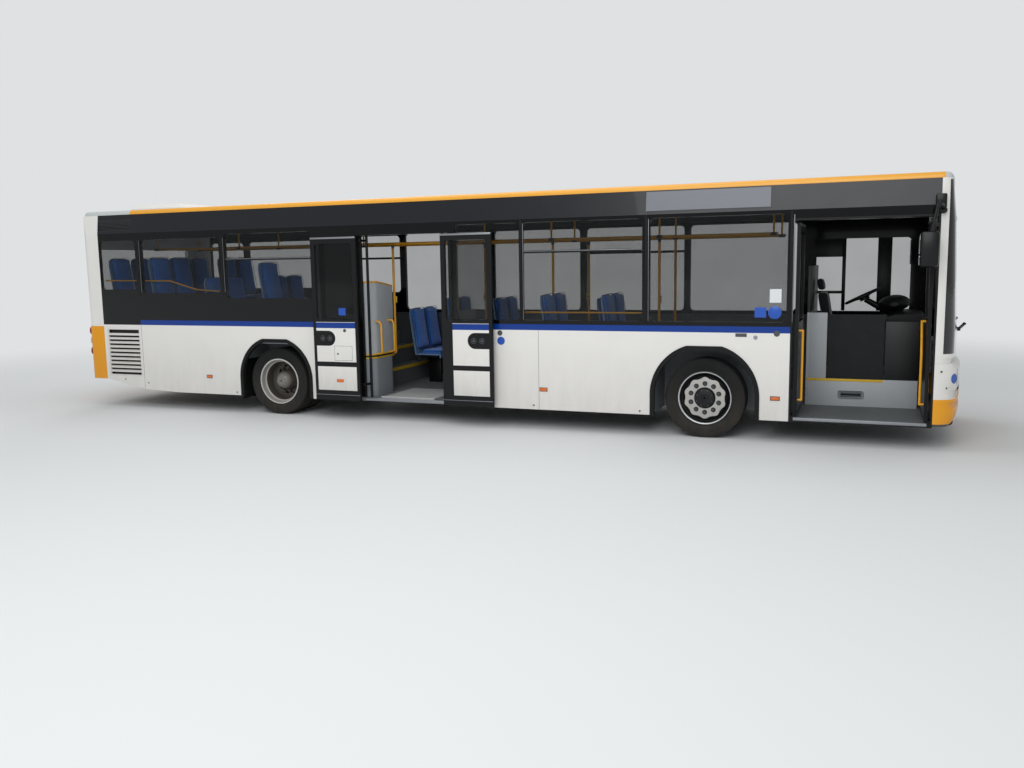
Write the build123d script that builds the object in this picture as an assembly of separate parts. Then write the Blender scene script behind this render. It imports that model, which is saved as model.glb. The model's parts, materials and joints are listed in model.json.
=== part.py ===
from build123d import *
import os
from math import atan2, cos, degrees, hypot, pi, radians, sin, sqrt

# Low-entry city bus, 12 m class. Millimetres. X forward, Y to the left, Z up.
# The origin is on the ground under the middle of the whole bus.

# Driving dimensions of the body
LENGTH = 11980.0
WIDTH = 2500.0
WHEELBASE = 5875.0
FRONT_OVERHANG = 2700.0
SKIRT = 250.0          # underside of the side panels
STRIPE_TOP = 1297.0    # top of the painted side panels, where the window band starts
CANTRAIL = 2560.0      # top of the upright side
COVE_TOP = 2830.0      # top of the leaning panels above the windows
ROOF_TOP = 2892.0
COVE_LEAN = 35.0       # how far the cove panels lean in
WALL = 50.0            # side wall, skin to lining
END_WALL = 60.0        # front and rear mouldings
SEAT_GAP = 0.3         # between a fixed piece and its seat

HALF_L = LENGTH / 2
HALF_W = WIDTH / 2
INNER_W = HALF_W - WALL
FRONT_AXLE = HALF_L - FRONT_OVERHANG
REAR_AXLE = FRONT_AXLE - WHEELBASE

# Plan of the ends
REAR_CORNER = 130.0
MASK_X = 5673.0        # where the side ends and the front moulding starts
TAIL_X = -5650.0       # where the side ends and the rear corner starts

# Heights of the front and rear
BUMPER_LOW = 290.0
BUMPER_HIGH = 930.0
MASK_LOW = 985.0
SCREEN_LOW = 1262.0
SCREEN_HIGH = 2414.0
PILLAR_IN = 1090.0     # half width between the windscreen pillars
GROOVE = 40.0          # depth of the groove between bumper and front panel
TAIL_LOW = 408.0
TAIL_BUMPER_HIGH = 1200.0
TAIL_STEP = 12.0       # the upper moulding lies behind the bumper's face

# Levels of the front: height, nose behind the bumper's nose, corner radius, half width
FRONT_LEVELS = {
    "bumper foot": (BUMPER_LOW, 0.0, 230.0, HALF_W),
    "bumper head": (BUMPER_HIGH, 0.0, 230.0, HALF_W),
    "panel foot": (MASK_LOW, 50.0, 190.0, HALF_W),
    "screen foot": (SCREEN_LOW, 50.0, 190.0, HALF_W),
    "screen head": (SCREEN_HIGH, 102.0, 140.0, HALF_W),
    "cantrail": (CANTRAIL, 118.0, 125.0, HALF_W),
    "roof": (COVE_TOP, 147.0, 105.0, HALF_W - COVE_LEAN),
}

# Floor
FLOOR = 295.0
FLOOR_THICK = 45.0
STEP_ONE = 545.0
FLOOR_REAR = 800.0
FLOOR_BENCH = 1100.0
STEP_ONE_X = -1400.0
STEP_TWO_X = -1680.0
BENCH_X = -4200.0

# Wheels
TYRE_R = 461.0
TYRE_W = 276.0
BEAD_R = 300.0
RIM_R = BEAD_R - SEAT_GAP
AXLE_Z = TYRE_R
FRONT_TYRE_Y = 1050.0
TWIN_Y = 900.0
TWIN_OFFSET = 160.0
KINGPIN_Y = 930.0
SPINDLE_R = 35.0
REAR_SPINDLE_R = 45.0
KINGPIN_R = 20.0
RUN = 0.08             # radial clearance of a shaft in its bore

# Wheel arches: half width, height of the upright part, shoulder point, flat top
ARCH_FRONT = {"x": FRONT_AXLE, "half": 622.0, "spring": 490.0, "top": 1070.0}
ARCH_REAR = {"x": REAR_AXLE, "half": 600.0, "spring": 500.0, "top": 1055.0}
ARCH_FLAT = 200.0
ARCH_TRIM = 50.0
ARCH_TRIM_PROUD = 8.0
BOX_WALL = 15.0
FRONT_BOX_IN = 500.0
FRONT_BOX_TOP = 1050.0
REAR_BOX_IN = 580.0
REAR_BOX_TOP = 1000.0

# Doors: both have two leaves of one width
LEAF_W = 685.0
LEAF_T = 38.0
LEAF_GAP = 6.0         # between the closing edges
FRONT_LEAF_GAP = 18.0  # the front leaves turn through it as they part
LEAF_FLUSH = 2.0       # a closed leaf lies this far inside the skin
MID_DOOR_X = -562.5
MID_POCKET_GAP = 10.0
MID_CLEAR = 635.0      # half of the clear opening
MID_LEAF_LOW = 265.0
MID_LEAF_HIGH = 2415.0
FRONT_DOOR_X = 4949.0
FRONT_JAMB_GAP = 10.0
FRONT_HEAD_GAP = 30.0  # holds the upper arm
FRONT_LEAF_LOW = FLOOR + 24
FRONT_LEAF_HIGH = 2415.0
DOOR_HEAD_GAP = 10.0
COLUMN_R = 18.0
ARM_T = 30.0
ARM_W = 24.0
ARM_ZS = (480.0, 2358.0)
PIN_R = 8.0

# Middle door: arm radius and its angle from the way to the door's middle
MID_ARM = 316.4
MID_SHUT = 2.0
MID_OPEN = 156.0
MID_PIVOT_IN = 25.0    # pivot inside of the leaf's inner face

# Front door: the column stands beside the opening, its arms reach over and under the leaf
FRONT_COLUMN_OUT = 30.0  # column's centre behind the jamb's face
FRONT_COLUMN_IN = 35.0   # and inside of the inner wall
FRONT_OPEN_X = 45.0      # an open leaf's middle plane from the jamb's face
FRONT_ARM_T = 10.0
FRONT_ARM_GAP = 7.0      # over the floor and under the head

mid_half = LEAF_W + LEAF_GAP / 2 + MID_POCKET_GAP        # half of the pocket
front_half = LEAF_W + FRONT_LEAF_GAP / 2 + FRONT_JAMB_GAP      # half of the front door's opening
mid_head = MID_LEAF_HIGH + DOOR_HEAD_GAP
front_head = FRONT_LEAF_HIGH + FRONT_HEAD_GAP
FRAME_LEG = 20.0


def block(x, y, z):
    """A box between two x, two y and two z values."""
    size = [abs(b - a) for a, b in (x, y, z)]
    mid = [(a + b) / 2 for a, b in (x, y, z)]
    return Pos(*mid) * Box(*size)


def along_y(points, y0, y1):
    """A polygon given in x and z, drawn out from y0 to y1."""
    wire = Wire.make_polygon([(x, y0, z) for x, z in points])
    return Solid.extrude(Face(wire), Vector(0, y1 - y0, 0))


def along_x(points, x0, x1):
    """A polygon given in y and z, drawn out from x0 to x1."""
    wire = Wire.make_polygon([(x0, y, z) for y, z in points])
    return Solid.extrude(Face(wire), Vector(x1 - x0, 0, 0))


def rod(a, b, radius):
    """A round bar from point a to point b."""
    a, b = Vector(*a), Vector(*b)
    return extrude(Plane(origin=a, z_dir=b - a) * Circle(radius), (b - a).length)


def rounded(x, z, y, radius):
    """A rounded rectangle in x and z, between two y values."""
    plane = Plane(origin=((x[0] + x[1]) / 2, y[0], (z[0] + z[1]) / 2), x_dir=(1, 0, 0), z_dir=(0, 1, 0))
    return extrude(plane * RectangleRounded(abs(x[1] - x[0]), abs(z[1] - z[0]), radius), y[1] - y[0])


def both_sides(shape):
    """A shape and its mirror image on the other side of the bus."""
    return [shape, mirror(shape, Plane.XZ)]


def fused(shapes):
    """One solid from shapes that meet."""
    first, *rest = shapes
    for shape in rest:
        first = first + shape
    return first


def save(name, shapes):
    """Write one node from a shape or a list of shapes that do not touch."""
    if not isinstance(shapes, (list, tuple)):
        shapes = [shapes]
    solids = []
    for shape in shapes:
        solids += shape.solids()
    export_step(Compound(children=solids) if len(solids) > 1 else solids[0], f"parts/{name}.step")


os.makedirs("parts", exist_ok=True)


# Plan of the body

def nose_edges(z, back, corner_r, half, inset):
    """The front's outline at one height, from the right side round the nose to the left side."""
    r, h = corner_r - inset, half - inset
    b, depth = half - corner_r, HALF_L - back - MASK_X
    nose_r = (depth ** 2 + b ** 2 - corner_r ** 2) / (2 * (depth - corner_r))
    centre = HALF_L - back - nose_r
    nose_r -= inset
    turn = atan2(b, MASK_X - centre)
    join = (centre + nose_r * cos(turn), nose_r * sin(turn))
    halfway = (pi / 2 + turn) / 2
    mid = (MASK_X + r * cos(halfway), b + r * sin(halfway))
    return [
        ThreePointArc((MASK_X, -h, z), (mid[0], -mid[1], z), (join[0], -join[1], z)),
        ThreePointArc((join[0], -join[1], z), (centre + nose_r, 0, z), (join[0], join[1], z)),
        ThreePointArc((join[0], join[1], z), (mid[0], mid[1], z), (MASK_X, h, z)),
    ]


def front_block(levels, inset=0.0, behind=0.0):
    """The front's outline drawn up through its levels, back to the end of the side."""
    wires = []
    for z, back, corner_r, half in levels:
        h = half - inset
        edges = nose_edges(z, back, corner_r, half, inset)
        corners = [(MASK_X, h, z), (MASK_X - behind, h, z), (MASK_X - behind, -h, z), (MASK_X, -h, z)]
        if behind:
            edges += [Line(a, b) for a, b in zip(corners, corners[1:])]
        else:
            edges.append(Line(corners[0], corners[-1]))
        wires.append(Wire(edges))
    return Solid.make_loft(wires, ruled=True)


def front_shell(names, outer=0.0, thick=END_WALL):
    """The front's skin between levels, as thick as its moulding."""
    levels = [FRONT_LEVELS[name] for name in names]
    (low, *rest_low), (high, *rest_high) = levels[0], levels[-1]
    taller = [(low - 5, *rest_low)] + levels[1:-1] + [(high + 5, *rest_high)]
    return front_block(levels, outer) - front_block(taller, outer + thick, behind=20)


def nose_x(name, y):
    """How far forward the front's skin reaches at one level and one y."""
    _, back, corner_r, half = FRONT_LEVELS[name]
    depth, b = HALF_L - back - MASK_X, half - corner_r
    nose_r = (depth ** 2 + b ** 2 - corner_r ** 2) / (2 * (depth - corner_r))
    return HALF_L - back - nose_r + sqrt(nose_r ** 2 - y ** 2)


def tail_edges(z, half, inset, tail):
    """The rear's outline at one height, from the left side round to the right side."""
    h, r, x = half - inset, REAR_CORNER - inset, -HALF_L + tail + inset
    mid = (x + r - r * cos(pi / 4), h - r + r * sin(pi / 4))
    return [
        ThreePointArc((x + r, h, z), (mid[0], mid[1], z), (x, h - r, z)),
        Line((x, h - r, z), (x, r - h, z)),
        ThreePointArc((x, r - h, z), (mid[0], -mid[1], z), (x + r, -h, z)),
    ]


def rear_block(z0, z1, inset=0.0, tail=0.0, x_to=TAIL_X):
    """The rear's outline drawn up from z0 to z1, forward to the end of the side."""
    h, start = HALF_W - inset, -HALF_L + tail + REAR_CORNER
    edges = tail_edges(z0, HALF_W, inset, tail)
    corners = [(start, -h, z0), (x_to, -h, z0), (x_to, h, z0), (start, h, z0)]
    edges += [Line(a, b) for a, b in zip(corners, corners[1:])]
    return Solid.extrude(Face(Wire(edges)), Vector(0, 0, z1 - z0))


def rear_shell(z0, z1, tail=0.0):
    """The rear's skin, as thick as its moulding."""
    return rear_block(z0, z1, 0, tail) - rear_block(z0 - 5, z1 + 5, END_WALL, tail, TAIL_X + 20)


def roof_plan(z):
    """The outline of the whole roof."""
    _, back, corner_r, half = FRONT_LEVELS["roof"]
    start = -HALF_L + TAIL_STEP + REAR_CORNER
    edges = nose_edges(z, back, corner_r, half, 0)
    edges.append(Line((MASK_X, half, z), (start, half, z)))
    edges += tail_edges(z, half, 0, TAIL_STEP)
    edges.append(Line((start, -half, z), (MASK_X, -half, z)))
    return Face(Wire(edges))


# Wheel arches

def arch_wire(arch, inset, y):
    """The arch's outline: upright sides, round shoulders and a flat top."""
    half, top, spring, x = arch["half"] - inset, arch["top"] - inset, arch["spring"], arch["x"]
    low = SKIRT - 50
    shoulder = (ARCH_FLAT + (half - ARCH_FLAT) * 0.66, spring + (top - spring) * 0.68)
    return Wire([
        Line((x - half, y, low), (x - half, y, spring)),
        ThreePointArc((x - half, y, spring), (x - shoulder[0], y, shoulder[1]), (x - ARCH_FLAT, y, top)),
        Line((x - ARCH_FLAT, y, top), (x + ARCH_FLAT, y, top)),
        ThreePointArc((x + ARCH_FLAT, y, top), (x + shoulder[0], y, shoulder[1]), (x + half, y, spring)),
        Line((x + half, y, spring), (x + half, y, low)),
        Line((x + half, y, low), (x - half, y, low)),
    ])


def arch_block(arch, inset, y0, y1):
    """A block with the arch's outline between two y values."""
    return Solid.extrude(Face(arch_wire(arch, inset, y0)), Vector(0, y1 - y0, 0))


def skirt_cut(y0, y1):
    """What the rising skirt behind the rear wheels leaves out."""
    rise = [(-4298, SKIRT), (-4900, 273), (-5634, TAIL_LOW), (-6100, TAIL_LOW + 20), (-6100, 100), (-4298, 100)]
    return along_y(rise, y0, y1)


# Lower side panels, painted, with the stripe's band on top

GRILLE_X = (-5600.0, -4955.0)
GRILLE_Z = (455.0, 1180.0)
mid_pocket = (MID_DOOR_X - mid_half, MID_DOOR_X + mid_half)
front_open = (FRONT_DOOR_X - front_half, FRONT_DOOR_X + front_half)
skin_y = (-HALF_W, -INNER_W)


def lower_panel(x0, x1, arches):
    """One stretch of the right side's lower panels."""
    panel = block((x0, x1), skin_y, (SKIRT, STRIPE_TOP))
    for arch in arches:
        panel = panel - arch_block(arch, 0, -HALF_W - 20, -INNER_W + 20)
    return panel - skirt_cut(-HALF_W - 20, -INNER_W + 20)


panel_rear = lower_panel(TAIL_X, mid_pocket[0], [ARCH_REAR])
grille_hole = block(GRILLE_X, (-HALF_W - 20, -INNER_W + 20), GRILLE_Z)
panel_mid = lower_panel(mid_pocket[1], front_open[0] - FRAME_LEG, [ARCH_FRONT])
panel_left = mirror(lower_panel(TAIL_X, MASK_X, [ARCH_REAR, ARCH_FRONT]), Plane.XZ)
save("side_panels", [panel_rear - grille_hole, panel_mid, panel_left])

# Side grille: upright stiles and sloping slats in one frame
SLATS = 10
SLAT_T = 9.0
SLAT_DEEP = 46.0
SLAT_FLUSH = 2.0       # a slat's outer edge lies this far inside the skin
SLAT_SLOPE = 0.42      # half of a slat's rise, in pitches
STILE = 28.0
STILE_LAP = 5.0        # a slat's end runs this far into the stile
grille = [block((GRILLE_X[0], GRILLE_X[0] + STILE), skin_y, GRILLE_Z),
          block((GRILLE_X[1] - STILE, GRILLE_X[1]), skin_y, GRILLE_Z),
          block(GRILLE_X, skin_y, (GRILLE_Z[0], GRILLE_Z[0] + STILE)),
          block(GRILLE_X, skin_y, (GRILLE_Z[1] - STILE, GRILLE_Z[1]))]
pitch = (GRILLE_Z[1] - GRILLE_Z[0] - 2 * STILE) / (SLATS + 1)
for number in range(SLATS):
    z = GRILLE_Z[0] + STILE + pitch * (number + 1)
    slope = pitch * SLAT_SLOPE
    outer, inner = -HALF_W + SLAT_FLUSH, -HALF_W + SLAT_FLUSH + SLAT_DEEP
    slat = along_x([(outer, z - slope), (inner, z + slope), (inner, z + slope + SLAT_T), (outer, z - slope + SLAT_T)],
                   GRILLE_X[0] + STILE_LAP, GRILLE_X[1] - STILE_LAP)
    grille.append(slat)
side_grille = fused(grille)

# Arch trims of rubber, standing a little proud
trims = []
for arch in (ARCH_FRONT, ARCH_REAR):
    y0, y1 = -HALF_W - ARCH_TRIM_PROUD, -INNER_W
    ring = arch_block(arch, SEAT_GAP, y0, y1) - arch_block(arch, ARCH_TRIM, y0 - 5, y1 + 5)
    trims += both_sides(ring & block((-HALF_L, HALF_L), (y0 - 5, y1 + 5), (SKIRT, CANTRAIL)))
save("arch_trims", trims)

# Window bands: x from, x to, sill, head
WINDOWS_RIGHT = (
    (-5640, -4955, 1745, 2455),
    (-4849, -3447, 1690, 2460),
    (-3347, -1935, 1615, 2500),
    (195, 1050, 1345, 2520),
    (1096, 2572, 1345, 2520),
    (2661, 4180, 1345, 2520),
)
WINDOWS_LEFT = (
    (-5640, -4955, 1745, 2455),
    (-4849, -3447, 1690, 2460),
    (-3347, -1935, 1615, 2500),
    (-1835, -410, 1345, 2520),
    (-310, 1050, 1345, 2520),
    (1150, 2572, 1345, 2520),
    (2661, 4080, 1345, 2520),
    (4330, 5480, 1345, 2290),
)
WINDOW_R = 55.0
GLASS_T = 6.0
GLASS_IN = 4.0         # glass lies this far inside the skin


def window_band(windows, doors):
    """The upper side of the right hand, with its windows and door heads cut."""
    band = block((TAIL_X, MASK_X), skin_y, (STRIPE_TOP, CANTRAIL))
    for x0, x1, z0, z1 in windows:
        band = band - rounded((x0, x1), (z0, z1), (-HALF_W - 20, -INNER_W + 20), WINDOW_R)
    for x0, x1, head in doors:
        band = band - block((x0, x1), (-HALF_W - 20, -INNER_W + 20), (STRIPE_TOP - 10, head))
    return band


def panes(windows):
    """The glass of one side, on the right."""
    y0 = -HALF_W + GLASS_IN
    return [rounded((x0 + SEAT_GAP, x1 - SEAT_GAP), (z0 + SEAT_GAP, z1 - SEAT_GAP), (y0, y0 + GLASS_T), WINDOW_R)
            for x0, x1, z0, z1 in windows]


doors_right = ((mid_pocket[0], mid_pocket[1], mid_head),
               (front_open[0] - FRAME_LEG, MASK_X, front_head + FRAME_LEG))
save("window_bands", [window_band(WINDOWS_RIGHT, doors_right), mirror(window_band(WINDOWS_LEFT, ()), Plane.XZ)])
side_glass = panes(WINDOWS_RIGHT) + [mirror(p, Plane.XZ) for p in panes(WINDOWS_LEFT)]

# Cove panels: the leaning panels with the air ducts behind them, and their louvres
VENT_X = (-5640.0, -5010.0)
VENT_Z = (2600.0, 2760.0)
VENT_DEEP = 30.0
cove_in = HALF_W - COVE_LEAN
cove_section = [(-HALF_W, CANTRAIL), (-cove_in, COVE_TOP), (-860, COVE_TOP), (-905, 2775), (-1190, 2605),
                (-1190, CANTRAIL)]


def lean_y(z):
    """The skin's y on the right at a height of the cove."""
    return -HALF_W + COVE_LEAN * (z - CANTRAIL) / (COVE_TOP - CANTRAIL)


cove = along_x(cove_section, TAIL_X, MASK_X)
vent_hole = block(VENT_X, (-HALF_W - 20, lean_y(VENT_Z[0]) + VENT_DEEP), VENT_Z)
save("cove_panels", [cove - vent_hole, mirror(cove - vent_hole, Plane.XZ)])
VENT_SLATS = 8
VENT_PLATE = 6.0
VENT_RISE = (0.35, 0.75, 0.4)   # in pitches: a slat's foot and head at the plate, and its outer thickness
vent_back = lean_y(VENT_Z[0]) + VENT_DEEP
vent = [block(VENT_X, (vent_back - VENT_PLATE, vent_back), VENT_Z)]
step = (VENT_Z[1] - VENT_Z[0]) / VENT_SLATS
for number in range(VENT_SLATS):
    z = VENT_Z[0] + step * number
    y = lean_y(z)
    y_in = vent_back - VENT_PLATE / 2
    foot, head, edge = (z + step * rise for rise in VENT_RISE)
    vent.append(along_x([(y, z), (y_in, foot), (y_in, head), (y, edge)], *VENT_X))
save("grilles", [side_grille] + both_sides(fused(vent)))

# Roof with its rounded edge rail, two hatch openings and a low dome
HATCHES = (("front", 1700.0), ("rear", -2900.0))
HATCH_L = 900.0
HATCH_W = 620.0
HATCH_LIFT = 35.0      # kerb round the hatch, above the roof
ROOF_EDGE = 55.0
roof = Solid.extrude(roof_plan(COVE_TOP), Vector(0, 0, ROOF_TOP - COVE_TOP))
roof = fillet(roof.edges().group_by(Axis.Z)[-1], ROOF_EDGE)
for name, x in HATCHES:
    kerb = block((x - HATCH_L / 2, x + HATCH_L / 2), (-HATCH_W / 2, HATCH_W / 2), (ROOF_TOP - 20, ROOF_TOP + HATCH_LIFT))
    roof = roof + kerb
for name, x in HATCHES:
    roof = roof - block((x - HATCH_L / 2 + 40, x + HATCH_L / 2 - 40), (-HATCH_W / 2 + 40, HATCH_W / 2 - 40),
                        (COVE_TOP - 10, ROOF_TOP + HATCH_LIFT + 10))
save("roof", roof)
HATCH_T = 30.0
for name, x in HATCHES:
    low = ROOF_TOP + HATCH_LIFT + SEAT_GAP
    lid = block((x - HATCH_L / 2, x + HATCH_L / 2), (-HATCH_W / 2, HATCH_W / 2), (low, low + HATCH_T))
    save(f"hatch_{name}", chamfer(lid.edges().group_by(Axis.Z)[-1], 12))
DOME_X = (-5304.0, -4400.0)
DOME_TOP = 2988.0
dome = block(DOME_X, (-900, 900), (ROOF_TOP + SEAT_GAP, DOME_TOP))
save("roof_dome", chamfer(dome.edges().group_by(Axis.Z)[-1], 60))

# Front moulding: panel, pillars and head in one frame round the windscreen
DISPLAY_Z = (2450.0, 2780.0)
DISPLAY_HALF = 1000.0
mask = front_shell(("panel foot", "screen foot", "screen head", "cantrail", "roof"))
screen_hole = block((MASK_X - 30, HALF_L + 50), (-PILLAR_IN, PILLAR_IN), (SCREEN_LOW, SCREEN_HIGH))
display_hole = block((MASK_X - 30, HALF_L + 50), (-DISPLAY_HALF, DISPLAY_HALF), DISPLAY_Z)
_, panel_back, panel_corner, _ = FRONT_LEVELS["panel foot"]
foot_back = (panel_back + GROOVE, panel_corner - 30, HALF_W)
BUMPER_HEAD = BUMPER_HIGH - SEAT_GAP
foot = front_block([(BUMPER_HIGH, *foot_back), (MASK_LOW + 1, *foot_back)]) \
    - front_block([(BUMPER_HIGH - 5, *foot_back), (MASK_LOW + 6, *foot_back)], END_WALL, behind=20)
save("front_mask", mask - screen_hole - display_hole + foot)

SCREEN_T = 10.0
SCREEN_IN = 6.0        # glass and display lie this far inside the front's skin
screen = front_shell(("screen foot", "screen head"), outer=SCREEN_IN, thick=SCREEN_T)
screen = screen & block((MASK_X - 20, HALF_L), (SEAT_GAP - PILLAR_IN, PILLAR_IN - SEAT_GAP),
                        (SCREEN_LOW + SEAT_GAP, SCREEN_HIGH - SEAT_GAP))

DISPLAY_T = 20.0
display = front_shell(("screen head", "cantrail", "roof"), outer=SCREEN_IN, thick=DISPLAY_T)
display = display & block((MASK_X - 20, HALF_L), (SEAT_GAP - DISPLAY_HALF, DISPLAY_HALF - SEAT_GAP),
                          (DISPLAY_Z[0] + SEAT_GAP, DISPLAY_Z[1] - SEAT_GAP))
SIDE_DISPLAY_X = (2615.0, 3990.0)
SIDE_DISPLAY_Z = (2600.0, 2815.0)
SIDE_DISPLAY_T = 8.0
low_y, high_y = (lean_y(z) - SEAT_GAP for z in SIDE_DISPLAY_Z)
side_display = along_x([(low_y, SIDE_DISPLAY_Z[0]), (high_y, SIDE_DISPLAY_Z[1]),
                        (high_y - SIDE_DISPLAY_T, SIDE_DISPLAY_Z[1]), (low_y - SIDE_DISPLAY_T, SIDE_DISPLAY_Z[0])],
                       *SIDE_DISPLAY_X)
save("displays", [display, side_display])

# Front bumper with lamp recesses
LAMP_Y = (640.0, 1040.0)
LAMP_Z = (650.0, 860.0)
bumper = front_shell(("bumper foot", "bumper head"))
for side in (-1, 1):
    bumper = bumper - block((HALF_L - 260, HALF_L + 20), (side * LAMP_Y[0], side * LAMP_Y[1]), LAMP_Z)
save("front_bumper", bumper)
lamp_shell = front_shell(("bumper foot", "bumper head"), outer=6, thick=48)
lamps = []
for side in (-1, 1):
    lamps.append(lamp_shell & block((HALF_L - 260, HALF_L + 20),
                                    (side * (LAMP_Y[0] + SEAT_GAP), side * (LAMP_Y[1] - SEAT_GAP)),
                                    (LAMP_Z[0] + SEAT_GAP, LAMP_Z[1] - SEAT_GAP)))

# Rear moulding, rear bumper, engine flap, window and lamps
REAR_WINDOW = {"half": 940.0, "low": 1560.0, "high": 2340.0}
FLAP_HALF = 860.0
FLAP_Z = (560.0, 1170.0)
FLAP_GAP = 6.0
FLAP_HEAD_GAP = 14.0   # room for the flap's top edge to turn past the frame
FLAP_T = 30.0
FLAP_AXIS_DOWN = 10.0  # the hinge pins lie this far below the flap's top edge
FLAP_PIN = 20.0        # how deep the pins sit in the frame
rear_upper = rear_shell(TAIL_BUMPER_HIGH, COVE_TOP, TAIL_STEP)
rear_hole = block((-HALF_L - 20, -HALF_L + 120), (-REAR_WINDOW["half"], REAR_WINDOW["half"]),
                  (REAR_WINDOW["low"], REAR_WINDOW["high"]))
cove_tail = along_x([(-HALF_W - 30, CANTRAIL), (-HALF_W, CANTRAIL), (-cove_in, COVE_TOP), (-cove_in, COVE_TOP + 20),
                     (-HALF_W - 30, COVE_TOP + 20)], -HALF_L - 10, TAIL_X + 10)
save("rear_wall", rear_upper - rear_hole - cove_tail - mirror(cove_tail, Plane.XZ))
x0 = -HALF_L + TAIL_STEP + GLASS_IN
rear_pane = block((x0, x0 + GLASS_T), (SEAT_GAP - REAR_WINDOW["half"], REAR_WINDOW["half"] - SEAT_GAP),
                  (REAR_WINDOW["low"] + SEAT_GAP, REAR_WINDOW["high"] - SEAT_GAP))
save("glazing", side_glass + [rear_pane, screen])

TAIL_LAMP_ZS = (820.0, 980.0, 1125.0)
TAIL_LAMP_R = 58.0
TAIL_LAMP_Y = 1060.0
TAIL_LAMP_DEEP = 30.0
rear_bumper = rear_shell(TAIL_LOW, TAIL_BUMPER_HIGH)
rear_bumper = rear_bumper - block((-HALF_L - 20, -HALF_L + 120), (-FLAP_HALF, FLAP_HALF), FLAP_Z)
for z in TAIL_LAMP_ZS:
    for side in (-1, 1):
        seat = rod((-HALF_L - 10, side * TAIL_LAMP_Y, z), (-HALF_L + TAIL_LAMP_DEEP, side * TAIL_LAMP_Y, z), TAIL_LAMP_R)
        rear_bumper = rear_bumper - seat
        lamps.append(rod((-HALF_L + 1, side * TAIL_LAMP_Y, z),
                         (-HALF_L + TAIL_LAMP_DEEP - SEAT_GAP, side * TAIL_LAMP_Y, z), TAIL_LAMP_R - SEAT_GAP))
flap_x = -HALF_L + 2 + FLAP_T / 2
flap_axis_z = FLAP_Z[1] - FLAP_HEAD_GAP - FLAP_AXIS_DOWN
flap = block((flap_x - FLAP_T / 2, flap_x + FLAP_T / 2), (FLAP_GAP - FLAP_HALF, FLAP_HALF - FLAP_GAP),
             (FLAP_Z[0] + FLAP_GAP, FLAP_Z[1] - FLAP_HEAD_GAP))
for side in (-1, 1):
    pin_end = side * (FLAP_HALF + FLAP_PIN)
    flap = flap + rod((flap_x, side * (FLAP_HALF - 40), flap_axis_z), (flap_x, pin_end, flap_axis_z), PIN_R)
    rear_bumper = rear_bumper - rod((flap_x, side * (FLAP_HALF - 1), flap_axis_z),
                                    (flap_x, pin_end + side * FLAP_GAP, flap_axis_z), PIN_R + RUN)
save("rear_bumper", rear_bumper)
save("lamps", lamps)
save("engine_flap", flap)

# Floor: one stepped plate from the front to the rear bench, with the wheel boxes in it
floor_top = [(MASK_X - 20, FLOOR), (STEP_ONE_X, FLOOR), (STEP_ONE_X, STEP_ONE), (STEP_TWO_X, STEP_ONE),
             (STEP_TWO_X, FLOOR_REAR), (BENCH_X, FLOOR_REAR), (BENCH_X, FLOOR_BENCH), (-HALF_L + END_WALL + 12, FLOOR_BENCH)]
floor_under = [(x - FLOOR_THICK, z - FLOOR_THICK) for x, z in floor_top[1:-1]]
floor_points = floor_top + [(-HALF_L + END_WALL + 12, FLOOR_BENCH - FLOOR_THICK)] + floor_under[::-1] + \
    [(MASK_X - 20, FLOOR - FLOOR_THICK)]
_, *foot_shape = FRONT_LEVELS["bumper foot"]
floor = along_y(floor_points, -INNER_W, INNER_W) \
    + front_block([(FLOOR - FLOOR_THICK, *foot_shape), (FLOOR, *foot_shape)], END_WALL + SEAT_GAP, behind=40)


def wheel_box(arch, inner, top, low):
    """The closed box over one wheel, open below and to the outside; on the right."""
    x = (arch["x"] - arch["half"], arch["x"] + arch["half"])
    outside = block(x, (-INNER_W, -inner), (low, top))
    inside = block((x[0] + BOX_WALL, x[1] - BOX_WALL), (-INNER_W - 10, -inner - BOX_WALL), (low - 10, top - BOX_WALL))
    return outside - inside


boxes = []
for arch, inner, top, low in ((ARCH_FRONT, FRONT_BOX_IN, FRONT_BOX_TOP, FLOOR - FLOOR_THICK),
                              (ARCH_REAR, REAR_BOX_IN, REAR_BOX_TOP, FLOOR_REAR - FLOOR_THICK)):
    x = (arch["x"] - arch["half"], arch["x"] + arch["half"])
    for side in (-1, 1):
        floor = floor - block(x, (side * inner, side * (INNER_W + 10)), (low - 10, top))
    boxes += both_sides(wheel_box(arch, inner, top, low))
save("wheel_boxes", boxes)
for side in (-1, 1):
    floor = floor - block((-HALF_L, -HALF_L + REAR_CORNER + 10), (side * (HALF_W - REAR_CORNER - 10), side * HALF_W),
                          (FLOOR_REAR, FLOOR_BENCH + 10))
    floor = floor - block((-HALF_L, TAIL_X), (side * (HALF_W - END_WALL), side * HALF_W), (FLOOR_REAR, FLOOR_BENCH + 10))
save("floor", floor)

# Door frames: portals, heads and sills
HEAD_DEEP = 150.0
frames = []
mid_frame = block(mid_pocket, (-INNER_W, -INNER_W + 50), (FLOOR + SEAT_GAP, CANTRAIL)) \
    - block((MID_DOOR_X - MID_CLEAR, MID_DOOR_X + MID_CLEAR), (-INNER_W - 10, -INNER_W + 60), (0, mid_head + 5))
mid_drive = block((mid_pocket[0], mid_pocket[1]), (-INNER_W + 50, -INNER_W + 50 + HEAD_DEEP), (mid_head + 5, CANTRAIL))
frames.append(mid_frame + mid_drive)
front_x = (front_open[0] - FRAME_LEG, front_open[1] + FRAME_LEG)
front_frame = block(front_x, skin_y, (SKIRT, front_head + FRAME_LEG)) \
    - block(front_open, (-HALF_W - 10, -INNER_W + 10), (FLOOR, front_head))
front_drive = block(front_x, (-INNER_W, -INNER_W + 50 + HEAD_DEEP), (front_head, CANTRAIL))
column_side = FRONT_COLUMN_OUT + COLUMN_R
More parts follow.
